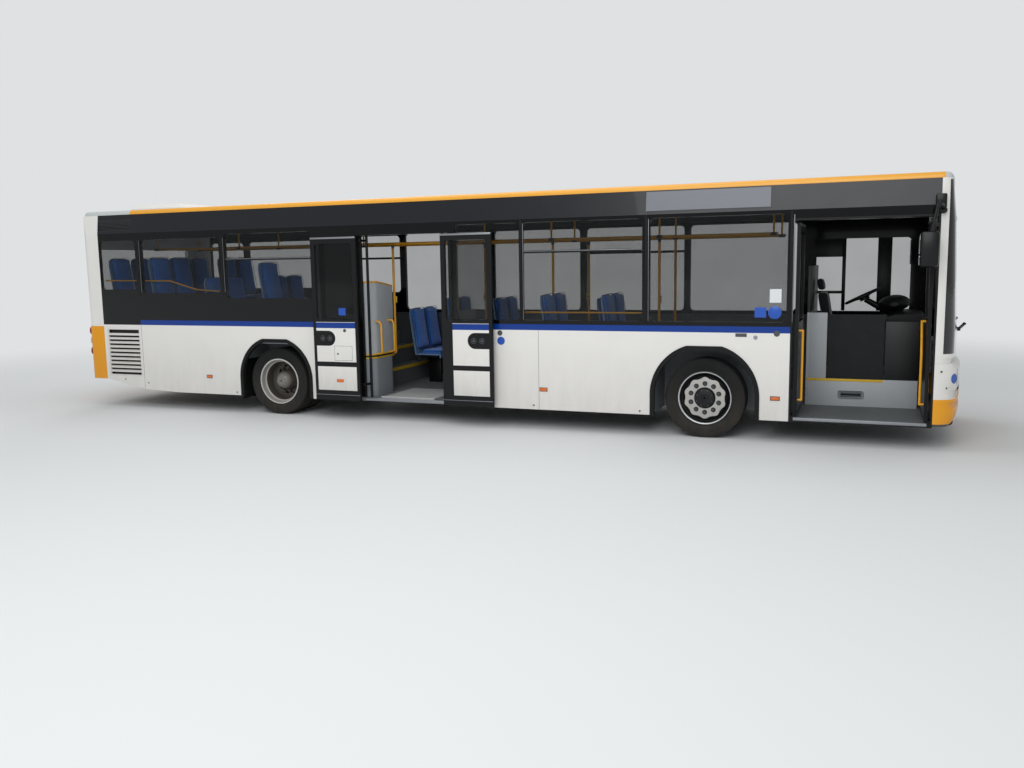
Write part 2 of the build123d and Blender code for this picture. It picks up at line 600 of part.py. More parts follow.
column_head = block((front_open[0] - column_side, front_open[1] + column_side),
                    (-INNER_W + FRONT_COLUMN_IN - COLUMN_R, -INNER_W + 50 + HEAD_DEEP), (front_head, front_head + 80))
frames.append(front_frame + front_drive + column_head)
save("door_frames", frames)

# Doors: each leaf hangs on the arms of a turning column; the doors stand open
LEAF_GLASS = {"side": 62.0, "low": 1340.0, "high": 2330.0}


def door_leaf(x0, z0, z1, y_mid):
    """A leaf in the closed place: outer frame, panels below, and the cut for its glass."""
    y = (y_mid - LEAF_T / 2, y_mid + LEAF_T / 2)
    leaf = block((x0, x0 + LEAF_W), y, (z0, z1))
    cut = rounded((x0 + LEAF_GLASS["side"], x0 + LEAF_W - LEAF_GLASS["side"]), (LEAF_GLASS["low"], LEAF_GLASS["high"]),
                  (y[0] - 5, y[1] + 5), 40)
    pane = rounded((x0 + LEAF_GLASS["side"] + SEAT_GAP, x0 + LEAF_W - LEAF_GLASS["side"] - SEAT_GAP),
                   (LEAF_GLASS["low"] + SEAT_GAP, LEAF_GLASS["high"] - SEAT_GAP), (y[0] + 4, y[0] + 4 + GLASS_T), 40)
    return leaf - cut, pane


def bracket(pivot, face_y, side_y, z):
    """The leaf's lug over an arm's end, with the pin that goes through the arm."""
    low = z + ARM_T / 2 + 1
    reach = block((pivot[0] - 15, pivot[0] + 15), (face_y, pivot[1] + side_y * 15), (low, low + 14))
    pin = rod((pivot[0], pivot[1], z - ARM_T / 2), (pivot[0], pivot[1], low + 5), PIN_R)
    return reach + pin


# Middle door, seen at the rear column; the front one is its mirror image
leaf_y = -(HALF_W - LEAF_FLUSH - LEAF_T / 2)
pivot_y = leaf_y + LEAF_T / 2 + MID_PIVOT_IN
column_y = pivot_y + MID_ARM * sin(radians(MID_SHUT))
MID_COLUMN_IN = 85.0
column_x = MID_DOOR_X - MID_CLEAR + MID_COLUMN_IN
shut = radians(MID_SHUT)
opened = radians(MID_OPEN)
pivot_shut = (column_x + MID_ARM * cos(shut), column_y - MID_ARM * sin(shut))
pivot_open = (column_x + MID_ARM * cos(opened), column_y - MID_ARM * sin(opened))
slide = (pivot_open[0] - pivot_shut[0], pivot_open[1] - pivot_shut[1])
elbow = (column_x - 38, column_y - 111)

leaf_x = MID_DOOR_X - LEAF_GAP / 2 - LEAF_W
leaf, pane = door_leaf(leaf_x, MID_LEAF_LOW, MID_LEAF_HIGH, leaf_y)
leaf, pane = Pos(slide[0], slide[1], 0) * leaf, Pos(slide[0], slide[1], 0) * pane
face = leaf_y + LEAF_T / 2 + slide[1]
column = rod((column_x, column_y, FLOOR + SEAT_GAP), (column_x, column_y, mid_head + 5 - SEAT_GAP), COLUMN_R)
for z in ARM_ZS:
    low, high = z - ARM_T / 2, z + ARM_T / 2
    for a, b in (((column_x, column_y), elbow), (elbow, pivot_open)):
        length = hypot(b[0] - a[0], b[1] - a[1])
        angle = degrees(atan2(b[1] - a[1], b[0] - a[0]))
        arm = Pos((a[0] + b[0]) / 2, (a[1] + b[1]) / 2, z) * Rot(0, 0, angle) * Box(length, ARM_W, ARM_T)
        column = column + arm
    column = column + rod((elbow[0], elbow[1], low), (elbow[0], elbow[1], high), ARM_W / 2)
    column = column + rod((pivot_open[0], pivot_open[1], low), (pivot_open[0], pivot_open[1], high), 15)
    column = column - rod((pivot_open[0], pivot_open[1], low - 5), (pivot_open[0], pivot_open[1], high + 5), PIN_R + RUN)
    leaf = leaf + bracket(pivot_open, face - 1, 1, z)
mid_plane = Plane(origin=(MID_DOOR_X, 0, 0), z_dir=(1, 0, 0))
save("mid_column_rear", column)
save("mid_leaf_rear", leaf)
save("mid_leaf_rear_glass", pane)
save("mid_column_front", mirror(column, mid_plane))
save("mid_leaf_front", mirror(leaf, mid_plane))
save("mid_leaf_front_glass", mirror(pane, mid_plane))

# Front door, seen at the rear column. Its leaf stands square to the side when open, and its pivot lies
# where both ends of the leaf's way are as far from the column.
column_x = front_open[0] - FRONT_COLUMN_OUT
column_y = -INNER_W + FRONT_COLUMN_IN
leaf_x = front_open[0] + FRONT_JAMB_GAP
shut_mid = (leaf_x + LEAF_W / 2, leaf_y)
open_mid = (front_open[0] + FRONT_OPEN_X, leaf_y + LEAF_W / 2)
shut_way = (shut_mid[0] - column_x, shut_mid[1] - column_y)
open_way = (open_mid[0] - column_x, open_mid[1] - column_y)
pivot_along = (open_way[0] ** 2 + open_way[1] ** 2 - shut_way[0] ** 2 - shut_way[1] ** 2) \
    / (2 * (shut_way[0] + open_way[1]))
pivot_open = (open_mid[0], open_mid[1] - pivot_along)
leaf, pane = door_leaf(leaf_x, FRONT_LEAF_LOW, FRONT_LEAF_HIGH, leaf_y)
turn = Pos(open_mid[0], open_mid[1], 0) * Rot(0, 0, -90) * Pos(-shut_mid[0], -shut_mid[1], 0)
leaf, pane = turn * leaf, turn * pane
column = rod((column_x, column_y, FLOOR + SEAT_GAP), (column_x, column_y, front_head - SEAT_GAP), COLUMN_R)
arm_angle = degrees(atan2(pivot_open[1] - column_y, pivot_open[0] - column_x))
arm_length = hypot(pivot_open[0] - column_x, pivot_open[1] - column_y)
for low, leaf_end in ((FLOOR + FRONT_ARM_GAP, FRONT_LEAF_LOW + 20),
                      (front_head - FRONT_ARM_GAP - FRONT_ARM_T, FRONT_LEAF_HIGH - 20)):
    high = low + FRONT_ARM_T
    middle = ((column_x + pivot_open[0]) / 2, (column_y + pivot_open[1]) / 2, (low + high) / 2)
    column = column + Pos(*middle) * Rot(0, 0, arm_angle) * Box(arm_length, ARM_W, FRONT_ARM_T)
    column = column + rod((*pivot_open, low), (*pivot_open, high), 15)
    column = column - rod((*pivot_open, low - 5), (*pivot_open, high + 5), PIN_R + RUN)
    pin_end = low if high < leaf_end else high
    leaf = leaf + rod((*pivot_open, pin_end), (*pivot_open, leaf_end), PIN_R)
front_plane = Plane(origin=(FRONT_DOOR_X, 0, 0), z_dir=(1, 0, 0))
save("front_column_rear", column)
save("front_leaf_rear", leaf)
save("front_leaf_rear_glass", pane)
save("front_column_front", mirror(column, front_plane))
save("front_leaf_front", mirror(leaf, front_plane))
save("front_leaf_front_glass", mirror(pane, front_plane))

# Folding ramp on the floor of the middle door
RAMP_W = 780.0
RAMP_L = 880.0
RAMP_T = 18.0
RAMP_HINGE_Y = -INNER_W + 5
RAMP_HINGE_R = 7.0
RAMP_HINGE_Z = FLOOR + SEAT_GAP + RAMP_T
ramp = block((MID_DOOR_X - RAMP_W / 2, MID_DOOR_X + RAMP_W / 2), (RAMP_HINGE_Y, RAMP_HINGE_Y + RAMP_L),
             (FLOOR + SEAT_GAP, RAMP_HINGE_Z))
ramp = ramp + rod((MID_DOOR_X - RAMP_W / 2, RAMP_HINGE_Y, RAMP_HINGE_Z), (MID_DOOR_X + RAMP_W / 2, RAMP_HINGE_Y, RAMP_HINGE_Z),
                  RAMP_HINGE_R)
save("ramp", ramp)

# Wheels

def tyre(y):
    """A tyre round the Y axis, its middle at y."""
    half = TYRE_W / 2
    wire = Wire([
        Line((0, y - 112, BEAD_R), (0, y - 112, 316)),
        ThreePointArc((0, y - 112, 316), (0, y - half, 385), (0, y - 122, 448)),
        ThreePointArc((0, y - 122, 448), (0, y - 117, 457), (0, y - 105, TYRE_R)),
        Line((0, y - 105, TYRE_R), (0, y + 105, TYRE_R)),
        ThreePointArc((0, y + 105, TYRE_R), (0, y + 117, 457), (0, y + 122, 448)),
        ThreePointArc((0, y + 122, 448), (0, y + half, 385), (0, y + 112, 316)),
        Line((0, y + 112, 316), (0, y + 112, BEAD_R)),
        Line((0, y + 112, BEAD_R), (0, y - 112, BEAD_R)),
    ])
    return revolve(Face(wire), Axis.Y, 360)


def turned(points):
    """A turned piece round the Y axis from its half section in y and radius."""
    return revolve(Face(Wire.make_polygon([(0, y, r) for y, r in points])), Axis.Y, 360)


FLANGE_R = 315.0
flange_in = 112 + SEAT_GAP
front_rim_section = [
    (-120, FLANGE_R), (-flange_in, FLANGE_R), (-flange_in, RIM_R), (flange_in, RIM_R), (flange_in, FLANGE_R),
    (120, FLANGE_R), (120, 288), (70, 280), (92, 215), (92, 150), (112, 140), (125, 80), (132, 60), (132, 0),
    (72, 0), (72, SPINDLE_R + RUN), (-40, SPINDLE_R + RUN), (-40, 95), (60, 120), (76, 215), (50, 272), (-120, 288),
]
twin_rim_section = [
    (-280, FLANGE_R), (-272.3, FLANGE_R), (-272.3, RIM_R), (-47.7, RIM_R), (-47.7, FLANGE_R), (-40, FLANGE_R),
    (-40, 288), (-20, 270), (20, 270), (40, 288), (40, FLANGE_R), (47.7, FLANGE_R), (47.7, RIM_R), (272.3, RIM_R),
    (272.3, FLANGE_R), (280, FLANGE_R), (280, 288), (60, 272), (22, 225), (22, 150), (60, 138), (180, 112),
    (222, 85), (238, 50), (238, 0), (150, 0), (150, REAR_SPINDLE_R + RUN), (-60, REAR_SPINDLE_R + RUN), (-60, 140),
    (-22, 150), (-22, 225), (-60, 272), (-280, 288),
]
front_tyre = tyre(0)
front_rim = turned(front_rim_section)
twin_tyres = [tyre(-TWIN_OFFSET), tyre(TWIN_OFFSET)]
twin_rim = turned(twin_rim_section)
for side, side_name in ((1, "left"), (-1, "right")):
    for name, shapes, x, y in (("tyre_front", [front_tyre], FRONT_AXLE, FRONT_TYRE_Y),
                               ("rim_front", [front_rim], FRONT_AXLE, FRONT_TYRE_Y),
                               ("tyres_rear", twin_tyres, REAR_AXLE, TWIN_Y),
                               ("rim_rear", [twin_rim], REAR_AXLE, TWIN_Y)):
        placed = [Pos(x, y, AXLE_Z) * s for s in shapes]
        if side < 0:
            placed = [mirror(s, Plane.XZ) for s in placed]
        save(f"{name}_{side_name}", placed)

# Front axle beam, dropped below the floor, with a boss for each kingpin
BOSS_R = 40.0
BOSS_Z = (390.0, 532.0)
beam_low, beam_high = 150.0, FLOOR - FLOOR_THICK
beam_profile = [(-KINGPIN_Y, BOSS_Z[0] + 20), (-760, BOSS_Z[0] + 10), (-560, beam_low), (560, beam_low),
                (760, BOSS_Z[0] + 10), (KINGPIN_Y, BOSS_Z[0] + 20), (KINGPIN_Y, BOSS_Z[1] - 20),
                (740, BOSS_Z[1] - 20), (530, beam_high), (-530, beam_high), (-740, BOSS_Z[1] - 20),
                (-KINGPIN_Y, BOSS_Z[1] - 20)]
beam = along_x(beam_profile, FRONT_AXLE - 45, FRONT_AXLE + 45)
for side in (-1, 1):
    beam = beam + rod((FRONT_AXLE, side * KINGPIN_Y, BOSS_Z[0]), (FRONT_AXLE, side * KINGPIN_Y, BOSS_Z[1]), BOSS_R)
    end = block((FRONT_AXLE - 60, FRONT_AXLE + 60), (side * KINGPIN_Y, side * (KINGPIN_Y + 80)), (300, 600))
    beam = beam - (end - rod((FRONT_AXLE, side * KINGPIN_Y, 300), (FRONT_AXLE, side * KINGPIN_Y, 600), BOSS_R))
    beam = beam - rod((FRONT_AXLE, side * KINGPIN_Y, 300), (FRONT_AXLE, side * KINGPIN_Y, 600), KINGPIN_R + RUN)

# Knuckles: a fork over the beam's boss, the kingpin and the wheel spindle; on the left
FORK_GAP = 3.0
FORK_T = 40.0
fork_y = (KINGPIN_Y - 42, KINGPIN_Y + 78)
post_y = (KINGPIN_Y + BOSS_R + 8, FRONT_TYRE_Y - 42)
knuckle = fused([
    block((FRONT_AXLE - 45, FRONT_AXLE + 45), (fork_y[0], post_y[1]), (BOSS_Z[1] + FORK_GAP, BOSS_Z[1] + FORK_GAP + FORK_T)),
    block((FRONT_AXLE - 45, FRONT_AXLE + 45), (fork_y[0], post_y[1]), (BOSS_Z[0] - FORK_GAP - FORK_T, BOSS_Z[0] - FORK_GAP)),
    block((FRONT_AXLE - 45, FRONT_AXLE + 45), post_y, (BOSS_Z[0] - FORK_GAP - FORK_T, BOSS_Z[1] + FORK_GAP + FORK_T)),
    rod((FRONT_AXLE, KINGPIN_Y, BOSS_Z[0] - FORK_GAP - 10), (FRONT_AXLE, KINGPIN_Y, BOSS_Z[1] + FORK_GAP + 10), KINGPIN_R),
    rod((FRONT_AXLE, post_y[0] + 5, AXLE_Z), (FRONT_AXLE, FRONT_TYRE_Y + 70, AXLE_Z), SPINDLE_R),
])
save("knuckle_left", knuckle)
save("knuckle_right", mirror(knuckle, Plane.XZ))

# Rear axle: housing, tubes, spindles and spring seats under the frame rails
RAIL_Y = (460.0, 540.0)
RAIL_Z = (620.0, FLOOR_REAR - FLOOR_THICK)
TUBE_R = 80.0
SHAFT_R = 40.0
ENGINE = {"x": (-5450.0, -4250.0), "half": 400.0, "z": (420.0, 1010.0)}
axle = fused([
    rod((REAR_AXLE, -(TWIN_Y - 66), AXLE_Z), (REAR_AXLE, TWIN_Y - 66, AXLE_Z), TUBE_R),
    rod((REAR_AXLE, -(TWIN_Y + 148), AXLE_Z), (REAR_AXLE, TWIN_Y + 148, AXLE_Z), REAR_SPINDLE_R),
    rod((REAR_AXLE, -110, AXLE_Z), (REAR_AXLE, 110, AXLE_Z), 195),
    block((REAR_AXLE - 70, REAR_AXLE + 70), RAIL_Y, (AXLE_Z, RAIL_Z[0] - SEAT_GAP)),
    block((REAR_AXLE - 70, REAR_AXLE + 70), (-RAIL_Y[1], -RAIL_Y[0]), (AXLE_Z, RAIL_Z[0] - SEAT_GAP)),
    rod((REAR_AXLE - 180, 0, AXLE_Z), (ENGINE["x"][1] + SEAT_GAP, 0, AXLE_Z), SHAFT_R),
])
save("axles", [beam, axle])

# Frame under the floor: a ladder between the axles, one in front and one that carries the engine
def ladder(x0, x1, y_in, y_out, z0, z1, cross, wide=80.0):
    """Two rails with cross members between them."""
    rails = [block((x0, x1), (s * y_in, s * y_out), (z0, z1)) for s in (-1, 1)]
    ties = [block((x - wide / 2, x + wide / 2), (-y_in - 1, y_in + 1), (z0, z1)) for x in cross]
    return fused(ties + rails)


low_z = (165.0, FLOOR - FLOOR_THICK)
mid_ladder = ladder(STEP_ONE_X, 2560, 420, 500, *low_z, (-1200, -250, 700, 1650, 2480))
nose_ladder = ladder(4050, 5560, 420, 500, *low_z, (4130, 4800, 5480))
TOW_X = HALF_L - 110
TOW_Y = (420.0, 450.0)
TOW_Z = 200.0
TOW_R = 20.0
TOW_EAR_R = 48.0
tow = [block((5520, TOW_X), (side * TOW_Y[0], side * TOW_Y[1]), (TOW_Z, low_z[1])) for side in (-1, 1)]
tow += [rod((TOW_X, side * TOW_Y[0], TOW_Z), (TOW_X, side * TOW_Y[1], TOW_Z), TOW_EAR_R) for side in (-1, 1)]
nose_ladder = fused([nose_ladder] + tow)
for side in (-1, 1):
    hole = rod((TOW_X, side * (TOW_Y[0] - 20), TOW_Z), (TOW_X, side * (TOW_Y[1] + 20), TOW_Z), TOW_R)
    nose_ladder = nose_ladder - hole
FRAME_TAIL_X = -HALF_L + 140
rear_rails = [block((FRAME_TAIL_X, STEP_TWO_X - FLOOR_THICK - 20), (s * RAIL_Y[0], s * RAIL_Y[1]), RAIL_Z) for s in (-1, 1)]
cradles = []
for x in (-5200, -4450):
    cradles.append(block((x - 40, x + 40), (-RAIL_Y[1], RAIL_Y[1]), (ENGINE["z"][0] - 60, ENGINE["z"][0] - SEAT_GAP)))
    cradles += [block((x - 40, x + 40), (s * RAIL_Y[0], s * RAIL_Y[1]), (ENGINE["z"][0] - 60, RAIL_Z[1])) for s in (-1, 1)]
rear_ties = [block((x - 40, x + 40), (-RAIL_Y[1], RAIL_Y[1]), RAIL_Z) for x in (FRAME_TAIL_X + 50, -3600, -1850)]
posts = [block((FRAME_TAIL_X, FRAME_TAIL_X + 60), (s * RAIL_Y[0], s * RAIL_Y[1]), (RAIL_Z[0], FLOOR_BENCH - FLOOR_THICK)) for s in (-1, 1)]
save("underframe", [mid_ladder, nose_ladder, fused(rear_ties + rear_rails + cradles + posts)])
engine = block(ENGINE["x"], (-ENGINE["half"], ENGINE["half"]), ENGINE["z"])
save("engine", engine)

# Seats: x of the seat's front edge, side (0 is the bench across), floor under it, number side by side
SEAT_W = 440.0
SEAT_WALL_GAP = 15.0
SEAT_ROWS = (
    (-5150, 0, FLOOR_BENCH, 5),
    (-4300, -1, FLOOR_BENCH, 2),
    (-4300, 1, FLOOR_BENCH, 2),
    (-3300, -1, FLOOR_REAR, 2),
    (-3300, 1, FLOOR_REAR, 2),
    (-2350, -1, REAR_BOX_TOP, 1),
    (-2350, 1, REAR_BOX_TOP, 1),
    (-250, 1, FLOOR, 2),
    (520, 1, FLOOR, 2),
    (1290, 1, FLOOR, 2),
    (2060, 1, FLOOR, 2),
    (1700, -1, FLOOR, 2),
    (2470, -1, FLOOR, 2),
)
SEAT_H = 440.0
SEAT_D = 400.0
PAD_T = 35.0
BACK_H = 640.0
BACK_RAKE = 90.0
SHELL_T = 22.0
shells, pads = [], []
for x, side, floor_z, number in SEAT_ROWS:
    width = number * SEAT_W - 20
    y = side * (INNER_W - SEAT_WALL_GAP - width / 2)
    z = floor_z + SEAT_H
    rear = x - SEAT_D
    profile = [(x, z), (rear, z), (rear - BACK_RAKE, z + BACK_H), (rear - BACK_RAKE - SHELL_T, z + BACK_H),
               (rear - SHELL_T, z - SHELL_T), (x, z - SHELL_T)]
    shell = along_y(profile, y - width / 2, y + width / 2)
    leg = block((rear + 110, x - 90), (y - 60, y + 60), (floor_z + SEAT_GAP, z - SHELL_T + 1))
    shells.append(shell + leg)
    for seat in range(number):
        yc = y - width / 2 + (seat + 0.5) * width / number
        half = width / number / 2 - 8
        pads.append(block((rear + 45, x - 5), (yc - half, yc + half), (z + SEAT_GAP, z + PAD_T)))
        slope = BACK_RAKE / BACK_H
        bx = rear + SEAT_GAP
        z0, z1 = z + PAD_T + 15, z + BACK_H - 25
        back = [(bx - slope * (z0 - z), z0), (bx - slope * (z1 - z), z1), (bx - slope * (z1 - z) + PAD_T, z1),
                (bx - slope * (z0 - z) + PAD_T, z0)]
        pads.append(along_y(back, yc - half, yc + half))
save("seat_frames", shells)
save("seat_pads", pads)

# Cab: platform, partition, door, dashboard with the steering wheel, and the driver's seat
CAB_X = (4330.0, 5560.0)
CAB_Y = -250.0
CAB_FLOOR = 620.0
CAB_WALL = 30.0
platform = block((CAB_X[0] + CAB_WALL, CAB_X[1]), (CAB_Y + CAB_WALL, INNER_W - SEAT_GAP), (FLOOR + SEAT_GAP, CAB_FLOOR))
cab_back = block((CAB_X[0], CAB_X[0] + CAB_WALL), (CAB_Y, INNER_W - SEAT_GAP), (FLOOR + SEAT_GAP, 1950))
CAB_DOOR_X = (4560.0, 5200.0)
CAB_DOOR_TOP = 1380.0
CAB_GAP = 6.0
CAB_HINGE_GAP = 12.0   # room for the door's hinge edge to turn
CAB_PIN = 25.0
cab_side = [block((CAB_X[0], CAB_DOOR_X[0]), (CAB_Y, CAB_Y + CAB_WALL), (FLOOR + SEAT_GAP, 1400)),
            block((CAB_DOOR_X[1], CAB_X[1]), (CAB_Y, CAB_Y + CAB_WALL), (FLOOR + SEAT_GAP, 1300)),
            block((CAB_X[0], CAB_X[1]), (CAB_Y, CAB_Y + CAB_WALL), (FLOOR + SEAT_GAP, CAB_FLOOR))]
cab = fused([cab_back, platform] + cab_side)
screen_rear = block((mid_pocket[0] - 30, mid_pocket[0] - 5), (-INNER_W + SEAT_GAP, -560), (FLOOR + SEAT_GAP, 1800))
screen_front = block((mid_pocket[1] + 5, mid_pocket[1] + 30), (-INNER_W + SEAT_GAP, -620), (FLOOR + SEAT_GAP, 1450))
cab_hinge = (CAB_DOOR_X[1] - CAB_HINGE_GAP - CAB_WALL / 2, CAB_Y + CAB_WALL / 2)
cab = cab - rod((*cab_hinge, CAB_FLOOR - CAB_PIN - 5), (*cab_hinge, CAB_FLOOR + 5), PIN_R + RUN)
cab_door = block((CAB_DOOR_X[0] + CAB_GAP, CAB_DOOR_X[1] - CAB_HINGE_GAP), (CAB_Y, CAB_Y + CAB_WALL),
                 (CAB_FLOOR + CAB_GAP, CAB_DOOR_TOP))
save("partitions", [cab, screen_rear, screen_front])
save("cab_door", cab_door + rod((*cab_hinge, CAB_FLOOR - CAB_PIN), (*cab_hinge, CAB_FLOOR + CAB_GAP + 5), PIN_R))
dash = along_y([(5560, CAB_FLOOR + SEAT_GAP), (5640, 1250), (5640, 1330), (5300, 1360), (5180, 1300), (5300, 1180),
                (5480, CAB_FLOOR + SEAT_GAP)], -150, 1150)
WHEEL_AT = (5080.0, 560.0, 1400.0)
WHEEL_RING = 225.0
steer = Pos(*WHEEL_AT) * Rot(0, -25, 0) * Torus(WHEEL_RING, 14)
spoke = Pos(*WHEEL_AT) * Rot(0, -25, 0) * Box(2 * WHEEL_RING, 40, 14)
shaft = rod(WHEEL_AT, (WHEEL_AT[0] + 130, WHEEL_AT[1], WHEEL_AT[2] - 200), 30)
save("dashboard", fused([dash, shaft, spoke, steer]))
driver = fused([
    block((4640, 4960), (410, 710), (CAB_FLOOR + SEAT_GAP, 980)),
    block((4560, 5020), (330, 790), (980, 1090)),
    along_y([(4600, 1090), (4480, 1800), (4400, 1800), (4500, 1060), (4600, 1060)], 330, 790),
])
save("driver_seat", driver)

# Grab rails: ceiling rails, poles and the low rail behind the windows
RAIL_R = 17.0
CEILING = COVE_TOP
RAIL_HEIGHT = 2330.0
rails = []
for side in (-1, 1):
    y = side * 480
    parts = [rod((-5300, y, RAIL_HEIGHT), (4000, y, RAIL_HEIGHT), RAIL_R)]
    for x in (-5250, -3700, -2150, -150, 1200, 2600, 3950):
        parts.append(rod((x, y, RAIL_HEIGHT), (x, y, CEILING - SEAT_GAP), 12))
    for x, foot in ((-150, FLOOR), (2600, FLOOR)):
        parts.append(rod((x, y, foot + SEAT_GAP), (x, y, RAIL_HEIGHT), RAIL_R))
    rails.append(fused(parts))
save("grab_rails", rails)

# Mirrors on arms from the front corners
mirror_arm = fused([
    rod((5690, -HALF_W - SEAT_GAP, 2500), (5690, -1300, 2500), 34),
    rod((5690, -1270, 2500), (5640, -1440, 2560), 18),
    rod((5640, -1440, 2567), (5570, -1445, 2250), 16),
    block((5500, 5640), (-1560, -1330), (1930, 2280)),
])
save("mirrors", both_sides(mirror_arm))

# Wipers, parked across the foot of the windscreen: spindle y and the reach of the arm to the right
WIPERS = ((-120.0, 700.0), (930.0, 700.0))
WIPER_R = 11.0
WIPER_OUT = 34.0
SPINDLE_BOSS_R = 22.0
WIPER_FOOT_Z = SCREEN_LOW - 45
WIPER_TIP_Z = SCREEN_LOW + 60
wipers = []
for y, reach in WIPERS:
    boss_x = nose_x("screen foot", abs(y) - SPINDLE_BOSS_R) + SEAT_GAP
    arm_x = max(nose_x("screen foot", y - share * reach) for share in (0, 0.5, 1)) + WIPER_OUT
    wipers.append(fused([
        rod((boss_x, y, WIPER_FOOT_Z), (arm_x + WIPER_R, y, WIPER_FOOT_Z), SPINDLE_BOSS_R),
        rod((arm_x, y, WIPER_FOOT_Z), (arm_x, y - reach, WIPER_TIP_Z), WIPER_R),
    ]))
save("wipers", wipers)
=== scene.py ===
"""City bus: finishes, upholstery, tyre treads and fittings around the fixed frame. Metres."""

import json
import logging
import math
from dataclasses import dataclass
from enum import Enum
from typing import Any

import bmesh
import bpy
from mathutils import Matrix, Vector

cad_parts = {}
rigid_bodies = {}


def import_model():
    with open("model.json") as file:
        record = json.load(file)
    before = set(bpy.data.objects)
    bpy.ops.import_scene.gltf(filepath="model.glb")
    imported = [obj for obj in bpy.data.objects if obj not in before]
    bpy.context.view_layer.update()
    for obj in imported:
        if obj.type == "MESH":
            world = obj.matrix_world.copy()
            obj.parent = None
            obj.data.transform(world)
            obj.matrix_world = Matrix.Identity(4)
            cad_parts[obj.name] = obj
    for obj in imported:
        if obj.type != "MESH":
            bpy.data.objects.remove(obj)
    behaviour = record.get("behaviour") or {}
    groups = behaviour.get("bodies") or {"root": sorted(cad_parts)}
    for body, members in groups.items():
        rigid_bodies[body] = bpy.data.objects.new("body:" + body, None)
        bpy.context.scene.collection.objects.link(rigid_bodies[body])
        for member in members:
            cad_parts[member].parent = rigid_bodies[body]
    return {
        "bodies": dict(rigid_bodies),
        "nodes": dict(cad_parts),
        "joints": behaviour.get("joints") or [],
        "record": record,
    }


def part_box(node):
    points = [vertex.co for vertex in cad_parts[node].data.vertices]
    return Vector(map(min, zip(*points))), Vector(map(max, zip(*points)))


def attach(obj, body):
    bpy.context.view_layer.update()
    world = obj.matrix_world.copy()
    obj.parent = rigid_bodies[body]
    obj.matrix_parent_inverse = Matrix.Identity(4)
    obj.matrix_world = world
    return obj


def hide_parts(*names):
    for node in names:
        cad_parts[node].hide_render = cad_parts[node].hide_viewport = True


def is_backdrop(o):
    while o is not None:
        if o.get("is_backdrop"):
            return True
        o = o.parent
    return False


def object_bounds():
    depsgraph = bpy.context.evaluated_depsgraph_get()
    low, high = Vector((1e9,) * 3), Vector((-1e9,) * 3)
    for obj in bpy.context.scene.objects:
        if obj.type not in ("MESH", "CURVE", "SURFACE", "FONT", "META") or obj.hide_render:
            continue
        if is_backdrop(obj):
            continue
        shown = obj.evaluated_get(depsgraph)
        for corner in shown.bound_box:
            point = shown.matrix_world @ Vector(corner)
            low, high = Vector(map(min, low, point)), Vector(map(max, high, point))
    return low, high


LOG = logging.getLogger("city_bus")
MM = 0.001
SHARP = math.radians(35)    # edges that turn more than this stay sharp
SIDES = (-1, 1)    # the right side, then the left
WHEELS = (("front", "left", 1), ("front", "right", -1), ("rear", "left", 1), ("rear", "right", -1))

Mesh = bmesh.types.BMesh
Tree = bpy.types.NodeTree
Node = bpy.types.Node
Socket = bpy.types.NodeSocket
Material = bpy.types.Material
Thing = bpy.types.Object
Flat = tuple[float, float]
Point = tuple[float, float, float]
Spot = Vector | Point


def linear(colour: str) -> tuple[float, float, float, float]:
    """Turns an sRGB hex value into linear colour.

    Args:
        colour: six hex digits after a hash sign.

    Returns:
        Red, green, blue and an alpha of one.
    """
    parts = [int(colour[i:i + 2], 16) / 255 for i in (1, 3, 5)]
    r, g, b = (c / 12.92 if c <= 0.04045 else ((c + 0.055) / 1.055) ** 2.4 for c in parts)
    return r, g, b, 1.0


def feed(tree: Tree, node: Node, inputs: dict[str | int, Any]) -> None:
    """Sets a node's inputs.

    Args:
        tree: the node's tree.
        node: the node.
        inputs: for each input, a value or the output that is linked to it.
    """
    for key, value in inputs.items():
        if isinstance(value, Socket):
            tree.links.new(value, node.inputs[key])
        else:
            node.inputs[key].default_value = value


def add(tree: Tree, kind: str, settings: dict[str, Any] | None = None,
        inputs: dict[str | int, Any] | None = None) -> Node:
    """Adds one node with its settings and its inputs.

    Args:
        tree: the node tree that gets it.
        kind: the kind of shader node.
        settings: values of the node's own properties.
        inputs: for each input, a value or the output that is linked to it.

    Returns:
        The new node.
    """
    made = tree.nodes.new(f"ShaderNode{kind}")
    for key, value in (settings or {}).items():
        setattr(made, key, value)
    feed(tree, made, inputs or {})
    return made


def blank(name: str) -> tuple[Material, Tree, Node, Socket]:
    """Starts a material.

    Args:
        name: the material's name.

    Returns:
        The material, its tree, its shader and the object coordinates.
    """
    material = bpy.data.materials.new(name)
    material.use_nodes = True
    tree = material.node_tree
    return material, tree, tree.nodes["Principled BSDF"], add(tree, "TexCoord").outputs["Object"]


def put(name: str, data: Any) -> Thing:
    """Puts new data into the scene.

    Args:
        name: the object's name.
        data: its mesh, lamp or camera.

    Returns:
        The object.
    """
    made = bpy.data.objects.new(name, data)
    bpy.context.scene.collection.objects.link(made)
    return made


def put_mesh(name: str, shape: Mesh) -> Thing:
    """Puts a bmesh into the scene and frees it.

    Args:
        name: the object's name.
        shape: the bmesh.

    Returns:
        The object.
    """
    data = bpy.data.meshes.new(name)
    shape.to_mesh(data)
    shape.free()
    return put(name, data)


def settle(thing: Thing) -> None:
    """Turns the result of an object's modifiers into its mesh.

    Args:
        thing: the object.
    """
    data = bpy.data.meshes.new_from_object(thing.evaluated_get(bpy.context.evaluated_depsgraph_get()))
    thing.modifiers.clear()
    thing.data = data


